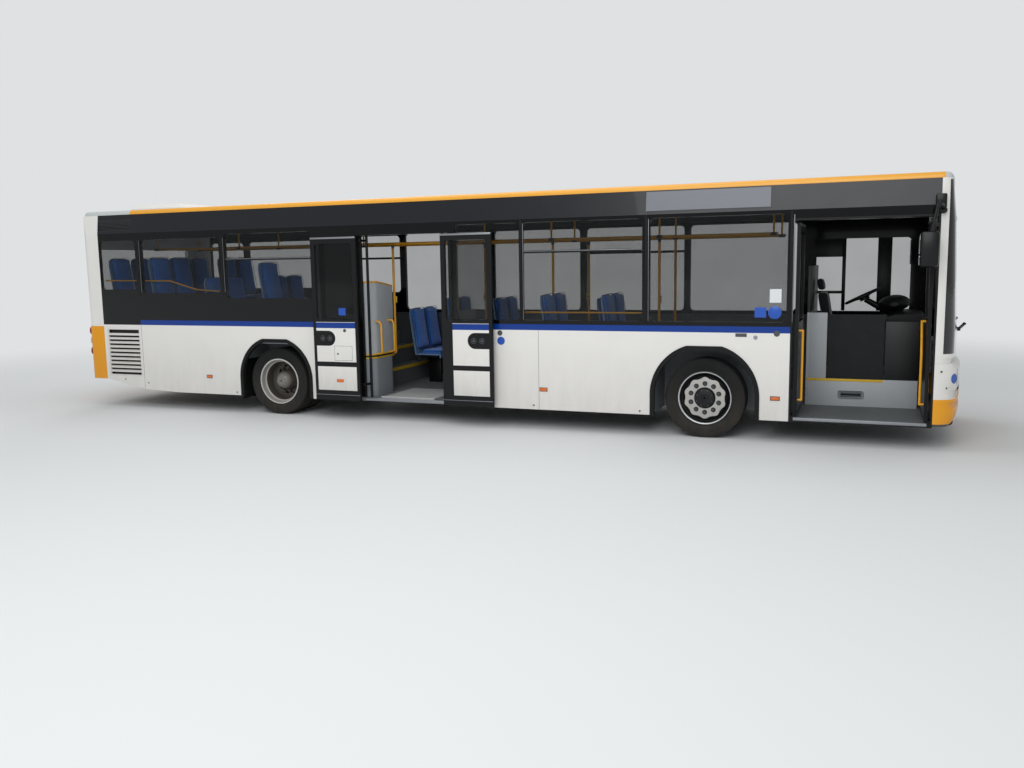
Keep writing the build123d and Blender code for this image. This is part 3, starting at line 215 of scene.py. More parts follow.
def arc(at: Flat, radius: float, start: float, turn: float, steps: int) -> list[Flat]:
    """Draws a part of a circle.

    Args:
        at: its centre.
        radius: its radius.
        start: the angle of its first point, in degrees.
        turn: how far it goes round, in degrees.
        steps: number of steps.

    Returns:
        Its points, one more than the steps.
    """
    angles = [math.radians(start + turn * step / steps) for step in range(steps + 1)]
    return [(at[0] + radius * math.cos(a), at[1] + radius * math.sin(a)) for a in angles]


def tyre_node(end: str, side: str) -> str:
    """Names the node of a wheel's tyre or pair of tyres."""
    return f"tyres_rear_{side}" if end == "rear" else f"tyre_front_{side}"


def wheel_centre(end: str, side: str) -> Vector:
    """Finds the middle of a wheel from its tyres."""
    low, high = map(Vector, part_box(tyre_node(end, side)))
    return (low + high) / 2


def solids(node: Thing) -> list[tuple[Vector, Vector]]:
    """Finds the separate solids of a node.

    Args:
        node: the object of the node.

    Returns:
        The low and the high corner of each.
    """
    copy = bmesh.new()
    copy.from_mesh(node.data)
    bmesh.ops.remove_doubles(copy, verts=copy.verts, dist=1e-5)
    found, seen = [], set()
    for start in copy.verts:
        if start in seen:
            continue
        stack, group = [start], []
        seen.add(start)
        while stack:
            vert = stack.pop()
            group.append(vert.co.copy())
            for edge in vert.link_edges:
                other = edge.other_vert(vert)
                if other not in seen:
                    seen.add(other)
                    stack.append(other)
        found.append(tuple(Vector([pick(p[i] for p in group) for i in range(3)]) for pick in (min, max)))
    copy.free()
    return found


class Axis(Enum):
    """The three ways along the bus, by their output on a Separate XYZ node."""

    X = "X"
    Y = "Y"
    Z = "Z"


@dataclass(frozen=True)
class Zone:
    """A box in which a surface has another colour."""

    colour: str
    limits: tuple[tuple[Axis, float, float], ...]
    roughness: float | None = None

    def mask(self, tree: Tree, place: Node) -> Socket:
        """Makes a value that is one inside the box.

        Args:
            tree: the material's tree.
            place: the Separate XYZ node that gives the object coordinates.

        Returns:
            The output with the mask.
        """
        result = None
        for axis, low, high in self.limits:
            inside = add(tree, "Math", {"operation": "COMPARE"},
                         {0: place.outputs[axis.value], 1: (low + high) / 2, 2: (high - low) / 2}).outputs[0]
            if result is not None:
                inside = add(tree, "Math", {"operation": "MULTIPLY"},
                             {0: result, 1: inside}).outputs[0]
            result = inside
        return result


@dataclass(frozen=True)
class Ring:
    """A round or ring-shaped zone about an axis through the bus, seen along the third axis."""

    colour: str
    centre: tuple[tuple[Axis, float], tuple[Axis, float]]
    inner: float
    outer: float
    limits: tuple[tuple[Axis, float, float], ...] = ()
    roughness: float | None = None

    def mask(self, tree: Tree, place: Node) -> Socket:
        """Makes a value that is one between the ring's two radii.

        Args:
            tree: the material's tree.
            place: the Separate XYZ node that gives the object coordinates.

        Returns:
            The output with the mask.
        """
        squares = []
        for axis, middle in self.centre:
            off = add(tree, "Math", {"operation": "SUBTRACT"},
                      {0: place.outputs[axis.value], 1: middle}).outputs[0]
            square = add(tree, "Math", {"operation": "MULTIPLY"}, {0: off, 1: off})
            squares.append(square.outputs[0])
        result = add(tree, "Math", {"operation": "ADD"}, dict(enumerate(squares))).outputs[0]
        result = add(tree, "Math", {"operation": "SQRT"}, {0: result}).outputs[0]
        middle, half = (self.inner + self.outer) / 2, (self.outer - self.inner) / 2
        result = add(tree, "Math", {"operation": "COMPARE"},
                     {0: result, 1: middle, 2: half}).outputs[0]
        if self.limits:
            box = Zone(self.colour, self.limits).mask(tree, place)
            result = add(tree, "Math", {"operation": "MULTIPLY"}, {0: result, 1: box}).outputs[0]
        return result


@dataclass(frozen=True)
class Finish:
    """A hard surface: its colour with soft patches, zones of other colours, road film and a fine grain."""

    name: str
    colour: str
    shade: str
    roughness: float
    patch_mm: float = 400.0
    metallic: float = 0.0
    coat: float = 0.0
    grain_mm: float = 3.0
    grain_depth_mm: float = 0.03
    zones: tuple[Zone | Ring, ...] = ()
    shine: float = 0.5
    film: str = ""
    film_top: float = 1.1
    film_amount: float = 0.25

    def build(self) -> Material:
        """Makes the material, which reads object coordinates.

        Returns:
            The material.
        """
        material, tree, shader, where = blank(self.name)
        place = add(tree, "SeparateXYZ", inputs={0: where})
        patches = add(tree, "TexNoise", inputs={
            "Vector": where, "Scale": 1000 / self.patch_mm, "Detail": 5.0, "Roughness": 0.6}).outputs["Fac"]
        colour = add(tree, "Mix", {"data_type": "RGBA"},
                     {0: patches, 6: linear(self.colour), 7: linear(self.shade)}).outputs[2]
        rough = add(tree, "MapRange",
                    inputs={0: patches, 3: self.roughness * 0.8, 4: self.roughness * 1.2}).outputs[0]
        for zone in self.zones:
            mask = zone.mask(tree, place)
            colour = add(tree, "Mix", {"data_type": "RGBA"},
                         {0: mask, 6: colour, 7: linear(zone.colour)}).outputs[2]
            if zone.roughness is not None:
                rough = add(tree, "Mix", {"data_type": "FLOAT"},
                            {0: mask, 2: rough, 3: zone.roughness}).outputs[0]
        if self.film:
            colour = self.road_film(tree, where, place, colour)
        grain = add(tree, "TexNoise", inputs={
            "Vector": where, "Scale": 1000 / self.grain_mm, "Detail": 3.0}).outputs["Fac"]
        bump = add(tree, "Bump", inputs={
            "Strength": 0.6, "Distance": self.grain_depth_mm * MM, "Height": grain}).outputs[0]
        feed(tree, shader, {"Base Color": colour, "Roughness": rough, "Metallic": self.metallic,
                            "Coat Weight": self.coat, "Specular IOR Level": self.shine, "Normal": bump})
        return material

    def road_film(self, tree: Tree, where: Socket, place: Node, colour: Socket) -> Socket:
        """Lays a film of road dirt over the lower part, in soft upright streaks.

        Args:
            tree: the material's tree.
            where: object coordinates.
            place: the Separate XYZ node on them.
            colour: the clean colour.

        Returns:
            The colour with the film.
        """
        streak = add(tree, "Mapping", inputs={0: where, 3: (6.0, 6.0, 1.2)}).outputs[0]
        cloud = add(tree, "TexNoise", inputs={
            "Vector": streak, "Scale": 1.6, "Detail": 6.0, "Roughness": 0.65}).outputs["Fac"]
        low = add(tree, "MapRange",
                  inputs={0: place.outputs["Z"], 1: 0.2, 2: self.film_top, 3: 1.0, 4: 0.0}).outputs[0]
        mixed = add(tree, "Math", {"operation": "MULTIPLY"}, {0: cloud, 1: low}).outputs[0]
        amount = add(tree, "Math", {"operation": "MULTIPLY", "use_clamp": True},
                     {0: mixed, 1: self.film_amount * 2}).outputs[0]
        return add(tree, "Mix", {"data_type": "RGBA"},
                   {0: amount, 6: colour, 7: linear(self.film)}).outputs[2]


@dataclass(frozen=True)
class SafetyGlass:
    """Tinted safety glass: clear enough to show the seats, with a gloss from the shader alone."""

    name: str
    colour: str
    alpha: float
    roughness: float = 0.04
    tints: tuple[Zone, ...] = ()

    def build(self) -> Material:
        """Makes the material, with another tint in some zones.

        Returns:
            The material.
        """
        material, tree, shader, where = blank(self.name)
        place = add(tree, "SeparateXYZ", inputs={0: where})
        smear = add(tree, "TexNoise",
                    inputs={"Vector": where, "Scale": 3.0, "Detail": 4.0}).outputs["Fac"]
        rough = add(tree, "MapRange",
                    inputs={0: smear, 3: self.roughness * 0.6, 4: self.roughness * 1.6}).outputs[0]
        alpha = add(tree, "MapRange",
                    inputs={0: smear, 3: self.alpha * 0.92, 4: self.alpha * 1.08}).outputs[0]
        colour = linear(self.colour)
        for zone in self.tints:
            colour = add(tree, "Mix", {"data_type": "RGBA"},
                         {0: zone.mask(tree, place), 6: colour, 7: linear(zone.colour)}).outputs[2]
        feed(tree, shader, {"Base Color": colour, "Roughness": rough, "Alpha": alpha})
        return material


@dataclass(frozen=True)
class WovenCloth:
    """Moquette: a short woven pile with small lighter flecks."""

    name: str
    colour: str
    fleck: str
    thread_mm: float = 6.0    # real threads are 1.5 mm apart, too fine to show

    def build(self) -> Material:
        """Makes the material, which reads object coordinates.

        Returns:
            The material.
        """
        material, tree, shader, where = blank(self.name)
        flecks = add(tree, "TexVoronoi",
                     inputs={"Vector": where, "Scale": 34.0}).outputs["Distance"]
        small = add(tree, "Math", {"operation": "LESS_THAN"}, {0: flecks, 1: 0.22}).outputs[0]
        cloud = add(tree, "TexNoise",
                    inputs={"Vector": where, "Scale": 9.0, "Detail": 4.0}).outputs["Fac"]
        amount = add(tree, "Math", {"operation": "MULTIPLY"}, {0: small, 1: cloud}).outputs[0]
        colour = add(tree, "Mix", {"data_type": "RGBA"},
                     {0: amount, 6: linear(self.colour), 7: linear(self.fleck)}).outputs[2]
        pitch = 1000 / self.thread_mm / math.tau
        threads = [add(tree, "TexWave", {"bands_direction": way},
                       {"Vector": where, "Scale": pitch}).outputs["Fac"] for way in "YZ"]
        weave = add(tree, "Math", {"operation": "MULTIPLY"}, dict(enumerate(threads))).outputs[0]
        bump = add(tree, "Bump",
                   inputs={"Strength": 0.7, "Distance": 0.6 * MM, "Height": weave}).outputs[0]
        feed(tree, shader, {"Base Color": colour, "Roughness": 0.9, "Sheen Weight": 0.4, "Normal": bump})
        return material


class Shapes:
    """Small shapes that are added to a bmesh."""

    @staticmethod
    def bar(mesh: Mesh, start: Point, end: Point, edge: float = 0.0) -> None:
        """Adds a bar between two opposite corners, with rounded edges.

        Args:
            mesh: the mesh that gets it.
            start: one corner.
            end: the corner across from it.
            edge: the radius of its edges, or zero.
        """
        low, high = (Vector([pick(pair) for pair in zip(start, end)]) for pick in (min, max))
        place = Matrix.Translation((low + high) / 2) @ Matrix.Diagonal((*(high - low), 1.0))
        made = bmesh.ops.create_cube(mesh, size=1.0, matrix=place)
        if edge > 0:
            edges = list({e for v in made["verts"] for e in v.link_edges})
            bmesh.ops.bevel(mesh, geom=edges, offset=edge, offset_type="OFFSET", segments=2, profile=0.5,
                            affect="EDGES", material=-1)

    @staticmethod
    def pair(mesh: Mesh, start: Point, end: Point, edge: float = 0.0) -> None:
        """Adds a bar on the left side and its mirror image on the right."""
        for side in SIDES:
            Shapes.bar(mesh, (start[0], side * start[1], start[2]), (end[0], side * end[1], end[2]), edge)

    @staticmethod
    def drum(mesh: Mesh, start: Spot, end: Spot, radius: float, far: float | None = None,
             sides: int = 20) -> list[bmesh.types.BMVert]:
        """Adds a drum, cone or prism from one point to another.

        Args:
            mesh: the mesh that gets it.
            start: the middle of its first end.
            end: the middle of its far end.
            radius: radius at the first end.
            far: radius at the far end, where it differs.
            sides: number of sides.

        Returns:
            The drum's vertices.
        """
        way = Vector(end) - Vector(start)
        turn = way.to_track_quat("Z", "Y").to_matrix().to_4x4()
        place = Matrix.Translation((Vector(start) + Vector(end)) / 2) @ turn
        made = bmesh.ops.create_cone(mesh, cap_ends=True, segments=sides, radius1=radius,
                                     radius2=radius if far is None else far, depth=way.length, matrix=place)
        return made["verts"]

    @staticmethod
    def rods(mesh: Mesh, points: list[Vector], joints: list[Vector], radius: float, sides: int) -> None:
        """Adds straight rods from point to point, with a ball in each joint.

        Args:
            mesh: the mesh that gets them.
            points: the ends of the rods.
            joints: the places of the balls.
            radius: radius of rods and balls.
            sides: number of sides.
        """
        for start, stop in zip(points, points[1:]):
            Shapes.drum(mesh, start, stop, radius, sides=sides)
        for joint in joints:
            bmesh.ops.create_uvsphere(mesh, u_segments=sides, v_segments=8, radius=radius,
                                      matrix=Matrix.Translation(joint))

    @staticmethod
    def tube(mesh: Mesh, points: list[Spot], radius: float, sides: int) -> None:
        """Adds a closed tube along points, each ring square to the bend there.

        Args:
            mesh: the mesh that gets it.
            points: the tube's middle line.
            radius: the tube's radius.
            sides: number of sides.
        """
        points = [Vector(point) for point in points]
        rings = []
        for number, point in enumerate(points):
            ahead = points[min(number + 1, len(points) - 1)] - points[max(number - 1, 0)]
            turn = ahead.to_track_quat("Z", "Y").to_matrix().to_4x4()
            made = bmesh.ops.create_circle(mesh, cap_ends=number in (0, len(points) - 1), segments=sides,
                                           radius=radius, matrix=Matrix.Translation(point) @ turn)
            ring = set(made["verts"])
            rings.append([e for e in {e for v in ring for e in v.link_edges} if set(e.verts) <= ring])
        for ring, after in zip(rings, rings[1:]):
            bmesh.ops.bridge_loops(mesh, edges=ring + after)

    @staticmethod
    def lathe(mesh: Mesh, centre: Vector, section: list[Flat], steps: int) -> None:
        """Spins a closed section round an axle along Y.

        Args:
            mesh: the mesh that gets it.
            centre: a point on the axle.
            section: its points as y and radius from the centre.
            steps: number of steps of the full turn.
        """
        ring = [mesh.verts.new((centre.x, centre.y + y, centre.z + r)) for y, r in section]
        edges = [mesh.edges.new(pair) for pair in zip(ring, ring[1:] + ring[:1])]
        bmesh.ops.spin(mesh, geom=ring + edges, cent=centre, axis=(0, 1, 0), angle=math.tau, steps=steps,
                       use_merge=True)

    @staticmethod
    def skin(mesh: Mesh, rings: list[list[Spot]], hollow: bool = False) -> None:
        """Joins closed rings of points into a skin.

        Args:
            mesh: the mesh that gets it.
            rings: the rings, each with as many points.
            hollow: whether the last ring joins the first, where otherwise both ends are closed.
        """
        made = [[mesh.verts.new(point) for point in ring] for ring in rings]
        for ring, after in zip(made, made[1:] + made[:1] if hollow else made[1:]):
            for a, b, c, d in zip(ring, ring[1:] + ring[:1], after[1:] + after[:1], after):
                mesh.faces.new((a, b, c, d))
        if not hollow:
            mesh.faces.new(list(reversed(made[0])))
            mesh.faces.new(made[-1])

    @staticmethod
    def along(mesh: Mesh, outline: list[Flat], ends: Flat) -> None:
        """Draws an outline of x and z out across the bus, from one y to another."""
        Shapes.skin(mesh, [[(x, y, z) for x, z in outline] for y in ends])


class Finishes:
    """All finishes of the bus, made once."""

    x, y, z = Axis.X, Axis.Y, Axis.Z
    white, pale, film = "#eceae6", "#e4e2de", "#8b867d"
    blue, black, amber, red = "#06388c", "#0d0e10", "#e0701a", "#a3121a"

    def build(self) -> dict[str, Material]:
        """Makes every material.

        Returns:
            The materials by name.
        """
        screen = Zone("#38584d", ((self.x, 5.75, 6.1),))
        kinds = [
            *self.body_paints(), *self.wheel_finishes(), *self.small_finishes(), *self.inside_finishes(),
            SafetyGlass("side_glass", "#0e1413", 0.32, tints=(screen,)),
            SafetyGlass("door_glass", "#0f1514", 0.28),
            WovenCloth("moquette", "#2f74cf", "#7fb0ee"),
            WovenCloth("moquette_dark", "#17191d", "#30343b"),
        ]
        return {kind.name: kind.build() for kind in kinds}

    def body_paints(self) -> list[Finish]:
        """Lists the enamels, painted mouldings and roof skins of the body.

        Returns:
            The finishes.
        """
        x, y, z, white, pale, film = self.x, self.y, self.z, self.white, self.pale, self.film
        stripe = Zone(self.blue, ((z, 1.225, 1.30), (x, -4.935, 6.0)))
        stripe_gap = Zone("#08090b", ((z, 1.225, 1.30), (x, -5.66, -4.935)))
        inside = Zone("#54585c", ((y, -1.235, 1.235), (x, -5.70, 5.75)))
        return [
            # Acrylic enamel on aluminium sheet: a clean gloss with a road film near the skirt
            Finish("enamel_white", white, pale, 0.3, coat=0.2, shine=0.25,
                   zones=(stripe, stripe_gap, inside), film=film, film_amount=0.18),
            Finish("leaf_white", white, pale, 0.3, coat=0.2, shine=0.25, film=film,
                   zones=(Zone(self.blue, ((z, 1.225, 1.30),)),)),
            # Painted glass-fibre mouldings, white above and signal yellow below
            Finish("moulding_front", white, pale, 0.32, coat=0.15, shine=0.25,
                   zones=(Zone("#f2a300", ((z, 0.0, 0.552),)),), film=film, film_amount=0.12),
            Finish("moulding_rear_yellow", "#f0a103", "#e79a02", 0.33, coat=0.15, shine=0.25,
                   film=film, film_amount=0.12),
            Finish("moulding_white", white, pale, 0.3, coat=0.5, film=film),
            # The front frame: white pillars round the black-printed apron and head of the windscreen
            Finish("moulding_mask", white, pale, 0.3, coat=0.5, film=film,
                   zones=(Zone("#07090a", ((z, 1.03, 2.815), (x, 5.748, 6.1)), 0.08),)),
            # Black-printed glass and painted window frames: a deep gloss
            Finish("window_band_black", "#050608", "#07080a", 0.12, coat=0.15, shine=0.25,
                   film=film, film_amount=0.04),
            # Dark grey enamel on the leaning panels, with the joints between them
            Finish("cove_grey", "#1b1d22", "#181a1f", 0.3, coat=0.15, shine=0.3,
                   zones=tuple(Zone(self.black, ((x, at - 0.0025, at + 0.0025),)) for at in (2.08, -1.92))),
            # Roof skin: pale on top with a yellow cant rail along both edges
            Finish("roof_white", "#c9cdcf", "#bcc1c3", 0.4, coat=0.2,
                   zones=tuple(Zone("#e9a530", ((y, low, low + 0.16), (x, -5.04, 5.70)))
                               for low in (-1.3, 1.14))),
            # Grille slats: below 1.3 m the inner half of each slat, within 1.2265 of the middle, is painted
            # shade, so the gaps between them read black
            Finish("slat_white", white, "#dedcd8", 0.4, patch_mm=60, coat=0.2, film=film, film_top=1.3,
                   zones=(Zone("#1d2024", ((z, 2.0, 3.0),)),
                          Zone("#0b0c0e", ((y, -1.2265, 1.2265), (z, 0.0, 1.3))))),
            # Underseal sprayed on steel
            Finish("underseal", "#0f0f10", "#171614", 0.8, shine=0.3, patch_mm=90, grain_mm=8,
                   grain_depth_mm=0.5, film="#4b453b", film_top=1.4, film_amount=0.5),
        ]

    def wheel_finishes(self) -> list[Finish]:
        """Lists the finishes of tyres, rims, nuts and cover discs, with bands round the axles.

        Returns:
            The finishes.
        """
        front, rear = (((self.x, at), (self.z, 0.461)) for at in (3.29, -2.585))
        return [
            # Tyre rubber: greyer than other rubber, with road dust
            Finish("tyre_rubber", "#0e0f10", "#161718", 0.82, shine=0.3, patch_mm=120, grain_mm=5,
                   grain_depth_mm=0.3, film="#4a463f", film_top=0.9, film_amount=0.35),
            # Wheel enamel over steel, with brake dust; on the front rims the deep well between disc and
            # flange is painted shade
            Finish("wheel_silver", "#a9aaaa", "#8d8b88", 0.42, patch_mm=60, metallic=0.3, grain_depth_mm=0.1,
                   zones=(Ring("#131416", front, 0.0, 0.122, roughness=0.5),
                          # Painted shade: the deep well between the disc and the flange
                          Ring("#17181a", front, 0.226, 0.291, roughness=0.7),
                          Ring("#cfd1d2", front, 0.2915, 0.3035),
                          Ring("#2a2b2d", front, 0.3035, 0.32))),
            Finish("wheel_dusty", "#6a625a", "#4c463f", 0.6, patch_mm=70, metallic=0.2, grain_depth_mm=0.2,
                   zones=(Ring("#7d7a75", rear, 0.0, 0.116, roughness=0.5),
                          Ring("#4f4a44", rear, 0.236, 0.268, roughness=0.7),
                          Ring("#a7a49e", rear, 0.268, 0.294),
                          Ring("#c4c3bf", rear, 0.2985, 0.32))),
            Finish("wheel_cover", "#c3c1be", "#a9a6a2", 0.4, patch_mm=50, metallic=0.3, grain_depth_mm=0.1),
            # Forged nuts, and their cups under black wax
            Finish("nut_steel", "#5b5d60", "#45474a", 0.4, patch_mm=20, metallic=0.7, grain_depth_mm=0.05),
            Finish("hub_black", "#101112", "#1a1b1c", 0.5, shine=0.4, patch_mm=30, metallic=0.4,
                   grain_depth_mm=0.1),
        ]

    def small_finishes(self) -> list[Finish]:
        """Lists the finishes of the fittings: rubber, metal, foils, lenses and displays.

        Returns:
            The finishes.
        """
        return [
            # Ethylene rubber: matt black with a grey bloom
            Finish("rubber_black", "#0b0c0d", "#121314", 0.7, shine=0.3, grain_depth_mm=0.1),
            Finish("seam_dark", "#26282b", "#1e2022", 0.7, patch_mm=60),
            # Silvered glass of the mirrors
            Finish("mirror_silver", "#dfe3e6", "#d6dbdf", 0.03, patch_mm=200, metallic=1.0,
                   grain_depth_mm=0.0),
            # Vinyl foil
            Finish("foil_blue", "#1d55b8", "#1a4fae", 0.35, patch_mm=60),
            Finish("foil_white", "#e3e6e8", "#d9dde0", 0.35, patch_mm=60),
            Finish("button_grey", "#55565a", "#3d3e42", 0.4, patch_mm=15),
            Finish("button_red", "#b3161d", "#9c1218", 0.35, patch_mm=15),
            # Mill-finish aluminium of door rails and sills
            Finish("aluminium", "#a5a8ab", "#90949a", 0.38, patch_mm=80, metallic=0.85, grain_depth_mm=0.05),
            # Black powder coat of door frames, mirrors and wipers
            Finish("frame_black", "#08090b", "#0c0d0f", 0.36, patch_mm=150, coat=0.05, shine=0.3),
            # Lens plastics
            Finish("lens_plastic", self.red, "#8a0f16", 0.12, patch_mm=20, coat=0.8, zones=self.lens_zones()),
            Finish("lens_amber", self.amber, "#cf6212", 0.15, patch_mm=12, coat=0.8),
            Finish("lens_red", self.red, "#8a0f16", 0.12, patch_mm=20, coat=0.8),
            Finish("display_dark", "#08090b", "#0b0c0e", 0.1, patch_mm=150, coat=0.3, shine=0.3,
                   zones=(Zone("#646971", ((self.x, 2.0, 5.0),), 0.3),)),
        ]

    def inside_finishes(self) -> list[Finish]:
        """Lists the finishes of the saloon and the cab.

        Returns:
            The finishes.
        """
        x, z = self.x, self.z
        podest = (x, -1.40, -1.05)
        return [
            Finish("diffuser_white", "#f1f3f3", "#e8ebeb", 0.45, patch_mm=300),
            Finish("nosing_yellow", "#e9c02c", "#dbb224", 0.6, patch_mm=40, grain_mm=4, grain_depth_mm=0.2),
            # Powder coat on steel tube: signal yellow, slightly orange-peeled
            Finish("handrail_yellow", "#e8a71f", "#dd9c1a", 0.32, patch_mm=90, coat=0.3, grain_mm=4),
            Finish("ramp_plate", "#b6b8b6", "#a4a7a6", 0.5, patch_mm=40, grain_mm=4, grain_depth_mm=0.3),
            # Vinyl floor with mineral flecks
            Finish("floor_vinyl", "#6e7274", "#5f6366", 0.55, patch_mm=25, grain_mm=2, grain_depth_mm=0.15),
            Finish("welt_blue", "#163d7c", "#12356f", 0.7, patch_mm=40),
            # Moulded linings
            Finish("lining_grey", "#8d9297", "#84898e", 0.5, patch_mm=200, grain_mm=1.5, grain_depth_mm=0.06),
            Finish("partition_grey", "#b8bcbf", "#aeb2b6", 0.45, patch_mm=200, grain_mm=1.5,
                   grain_depth_mm=0.06, zones=(Zone(self.black, ((x, 4.559, 5.7), (z, 0.622, 2.0))),
                                               Zone(self.black, ((x, 4.30, 4.5595), (z, 1.402, 2.0))),
                                               Zone("#e2b52a", (podest, (z, 0.80, 0.865))),
                                               Zone("#1c1e21", (podest, (z, 0.82, 0.845))))),
            Finish("lining_dark", "#17191b", "#131517", 0.55, shine=0.3, patch_mm=150, grain_mm=1.5,
                   grain_depth_mm=0.08),
            Finish("seat_shell_grey", "#6f8fb8", "#6583ab", 0.5, patch_mm=150, grain_mm=1.5,
                   grain_depth_mm=0.06),
            Finish("dashboard_black", "#0c0d0f", "#121315", 0.5, shine=0.3, patch_mm=100, grain_mm=1.5,
                   grain_depth_mm=0.1),
        ]

    def lens_zones(self) -> tuple[Zone | Ring, ...]:
        """Lists the colours of the lamps: clear in the middle of the tail, amber on the sides, head lamps.

        Returns:
            The zones.
        """
        x, y, z = self.x, self.y, self.z
        head = (x, 5.3, 6.1)
        zones: list[Zone | Ring] = [
            Zone("#c9ced2", ((x, -6.1, -5.5), (z, 0.92, 1.04))),
            Zone(self.amber, ((x, -5.0, 5.0),)),
            Zone("#2b2e31", (head,), 0.2),
        ]
        for side in SIDES:
            for middle in (0.73, 0.885):
                at = ((y, side * middle), (z, 0.782))
                zones += [Ring("#8d9499", at, 0.0, 0.070, (head,), 0.1),
                          Ring("#cfd6db", at, 0.0, 0.060, (head,), 0.08),
                          Ring("#9aa1a7", at, 0.018, 0.024, (head,), 0.1)]
            zones.append(Zone(self.amber, (head, (y, side * 0.995 - 0.035, side * 0.995 + 0.035))))
        return tuple(zones)


NODE_FINISH = {
    "enamel_white": "side_panels", "window_band_black": "window_bands", "cove_grey": "cove_panels",
    "roof_white": "roof", "moulding_white": "hatch_front hatch_rear roof_dome rear_wall",
    "moulding_mask": "front_mask", "moulding_front": "front_bumper",
    "moulding_rear_yellow": "rear_bumper engine_flap", "rubber_black": "arch_trims", "slat_white": "grilles",
    "lens_plastic": "lamps", "display_dark": "displays", "side_glass": "glazing", "floor_vinyl": "floor",
    "lining_grey": "wheel_boxes", "partition_grey": "partitions", "lining_dark": "cab_door",
    "dashboard_black": "dashboard driver_seat", "seat_shell_grey": "seat_frames", "moquette": "seat_pads",
    "handrail_yellow": "grab_rails", "ramp_plate": "ramp",
    "underseal": "axles underframe engine knuckle_left knuckle_right",
}


@dataclass
class Dressing:
    """Gives each node of the frame its finish."""

    finishes: dict[str, Material]
    nodes: dict[str, Thing]
    sharp: float = math.radians(30)

    @staticmethod
    def finish_of(name: str) -> str:
        """Finds the finish of a node, which is the black of the door frames where nothing else is named.

        Args:
            name: the node's name.

        Returns:
            The name of its finish.
        """
        for finish, nodes in NODE_FINISH.items():
            if name in nodes.split():
                return finish
        if name.startswith("tyre"):
            return "tyre_rubber"
        if name.startswith("rim"):
            return "wheel_silver" if "front" in name else "wheel_dusty"
        return "door_glass" if name.endswith("glass") else "frame_black"

    def build(self) -> None:
        """Puts the finishes on the nodes."""
        for name, node in self.nodes.items():
            node.data.materials.clear()
            node.data.materials.append(self.finishes[self.finish_of(name)])
            node.data.set_sharp_from_angle(angle=self.sharp)


@dataclass
class Studio:
    """Floor, lamps and the camera at the photograph's place."""

    camera_at: Point = (5.0928, -11.5393, 2.021)
    yaw: float = -22.004
    pitch: float = -7.532
    roll: float = -0.897
    focal_px: float = 903.62
    picture_px: int = 1024
    sensor_mm: float = 36.0
    backdrop: str = "#dfe1e2"
    fade: Flat = (7.0, 17.0)    # where the floor turns into the backdrop

    def build(self) -> None:
        """Makes the whole studio."""
        self.camera()
        self.floor()
        self.lamps()
        self.world()
        bpy.context.scene.view_settings.view_transform = "Standard"

    def camera(self) -> None:
        """Sets the camera from its yaw, pitch and roll."""
        yaw, pitch, roll = (math.radians(a) for a in (self.yaw, self.pitch, self.roll))
        ahead = Vector((math.sin(yaw) * math.cos(pitch), math.cos(yaw) * math.cos(pitch), math.sin(pitch)))
        right = Vector((math.cos(yaw), -math.sin(yaw), 0))
        up = right.cross(ahead)
        side = right * math.cos(roll) + up * math.sin(roll)
        top = up * math.cos(roll) - right * math.sin(roll)
        data = bpy.data.cameras.new("camera")
        data.sensor_width = self.sensor_mm
        data.lens = self.focal_px / self.picture_px * self.sensor_mm
        data.clip_end = 200
        made = put("camera", data)
        turn = Matrix((side, top, -ahead)).transposed().to_4x4()
        made.matrix_world = Matrix.Translation(self.camera_at) @ turn
        bpy.context.scene.camera = made

    def floor(self) -> None:
        """Lays a wide pale floor, which turns into the backdrop far off."""
        shape = bmesh.new()
        bmesh.ops.create_grid(shape, x_segments=1, y_segments=1, size=90)
        material, tree, shader, where = blank("studio_floor")
        pale = linear(self.backdrop)
        feed(tree, shader, {"Base Color": pale, "Roughness": 0.75})
        glow = add(tree, "Emission", inputs={"Color": pale, "Strength": 1.0}).outputs[0]
        away = add(tree, "VectorMath", {"operation": "LENGTH"}, {0: where}).outputs["Value"]
        share = add(tree, "MapRange", {"interpolation_type": "SMOOTHSTEP"},
                    {0: away, 1: self.fade[0], 2: self.fade[1]}).outputs[0]
        mixed = add(tree, "MixShader", inputs={0: share, 1: shader.outputs[0], 2: glow}).outputs[0]
        feed(tree, tree.nodes["Material Output"], {"Surface": mixed})
        made = put_mesh("studio_floor", shape)
        made.data.materials.append(material)
        made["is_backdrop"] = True

    @staticmethod
    def lamps() -> None:
        """Hangs three wide lamps: over the camera, over the roof and behind."""
        for name, at, size, power in (("lamp_key", (3.0, -13.0, 9.0), 9.0, 900.0),
                                      ("lamp_top", (-1.0, 0.0, 11.0), 10.0, 500.0),
                                      ("lamp_back", (-9.0, 10.0, 7.0), 7.0, 350.0)):
            data = bpy.data.lights.new(name, "AREA")
            data.size = size
            data.energy = power
            made = put(name, data)
            made.location = at
            made.rotation_euler = (Vector((0, 0, 1)) - Vector(at)).to_track_quat("-Z", "Y").to_euler()

    def world(self) -> None:
        """Makes an even sky that is pale to the eye and a little weaker as light."""
        world = bpy.data.worlds.new("world")
        bpy.context.scene.world = world
        world.use_nodes = True
        tree = world.node_tree
        path = add(tree, "LightPath")
        seen = add(tree, "Math", {"operation": "MAXIMUM"},
                   {0: path.outputs["Is Camera Ray"], 1: path.outputs["Is Transmission Ray"]}).outputs[0]
        strength = add(tree, "MapRange", inputs={0: seen, 3: 0.62, 4: 1.0}).outputs[0]
        feed(tree, tree.nodes["Background"], {"Color": linear(self.backdrop), "Strength": strength})


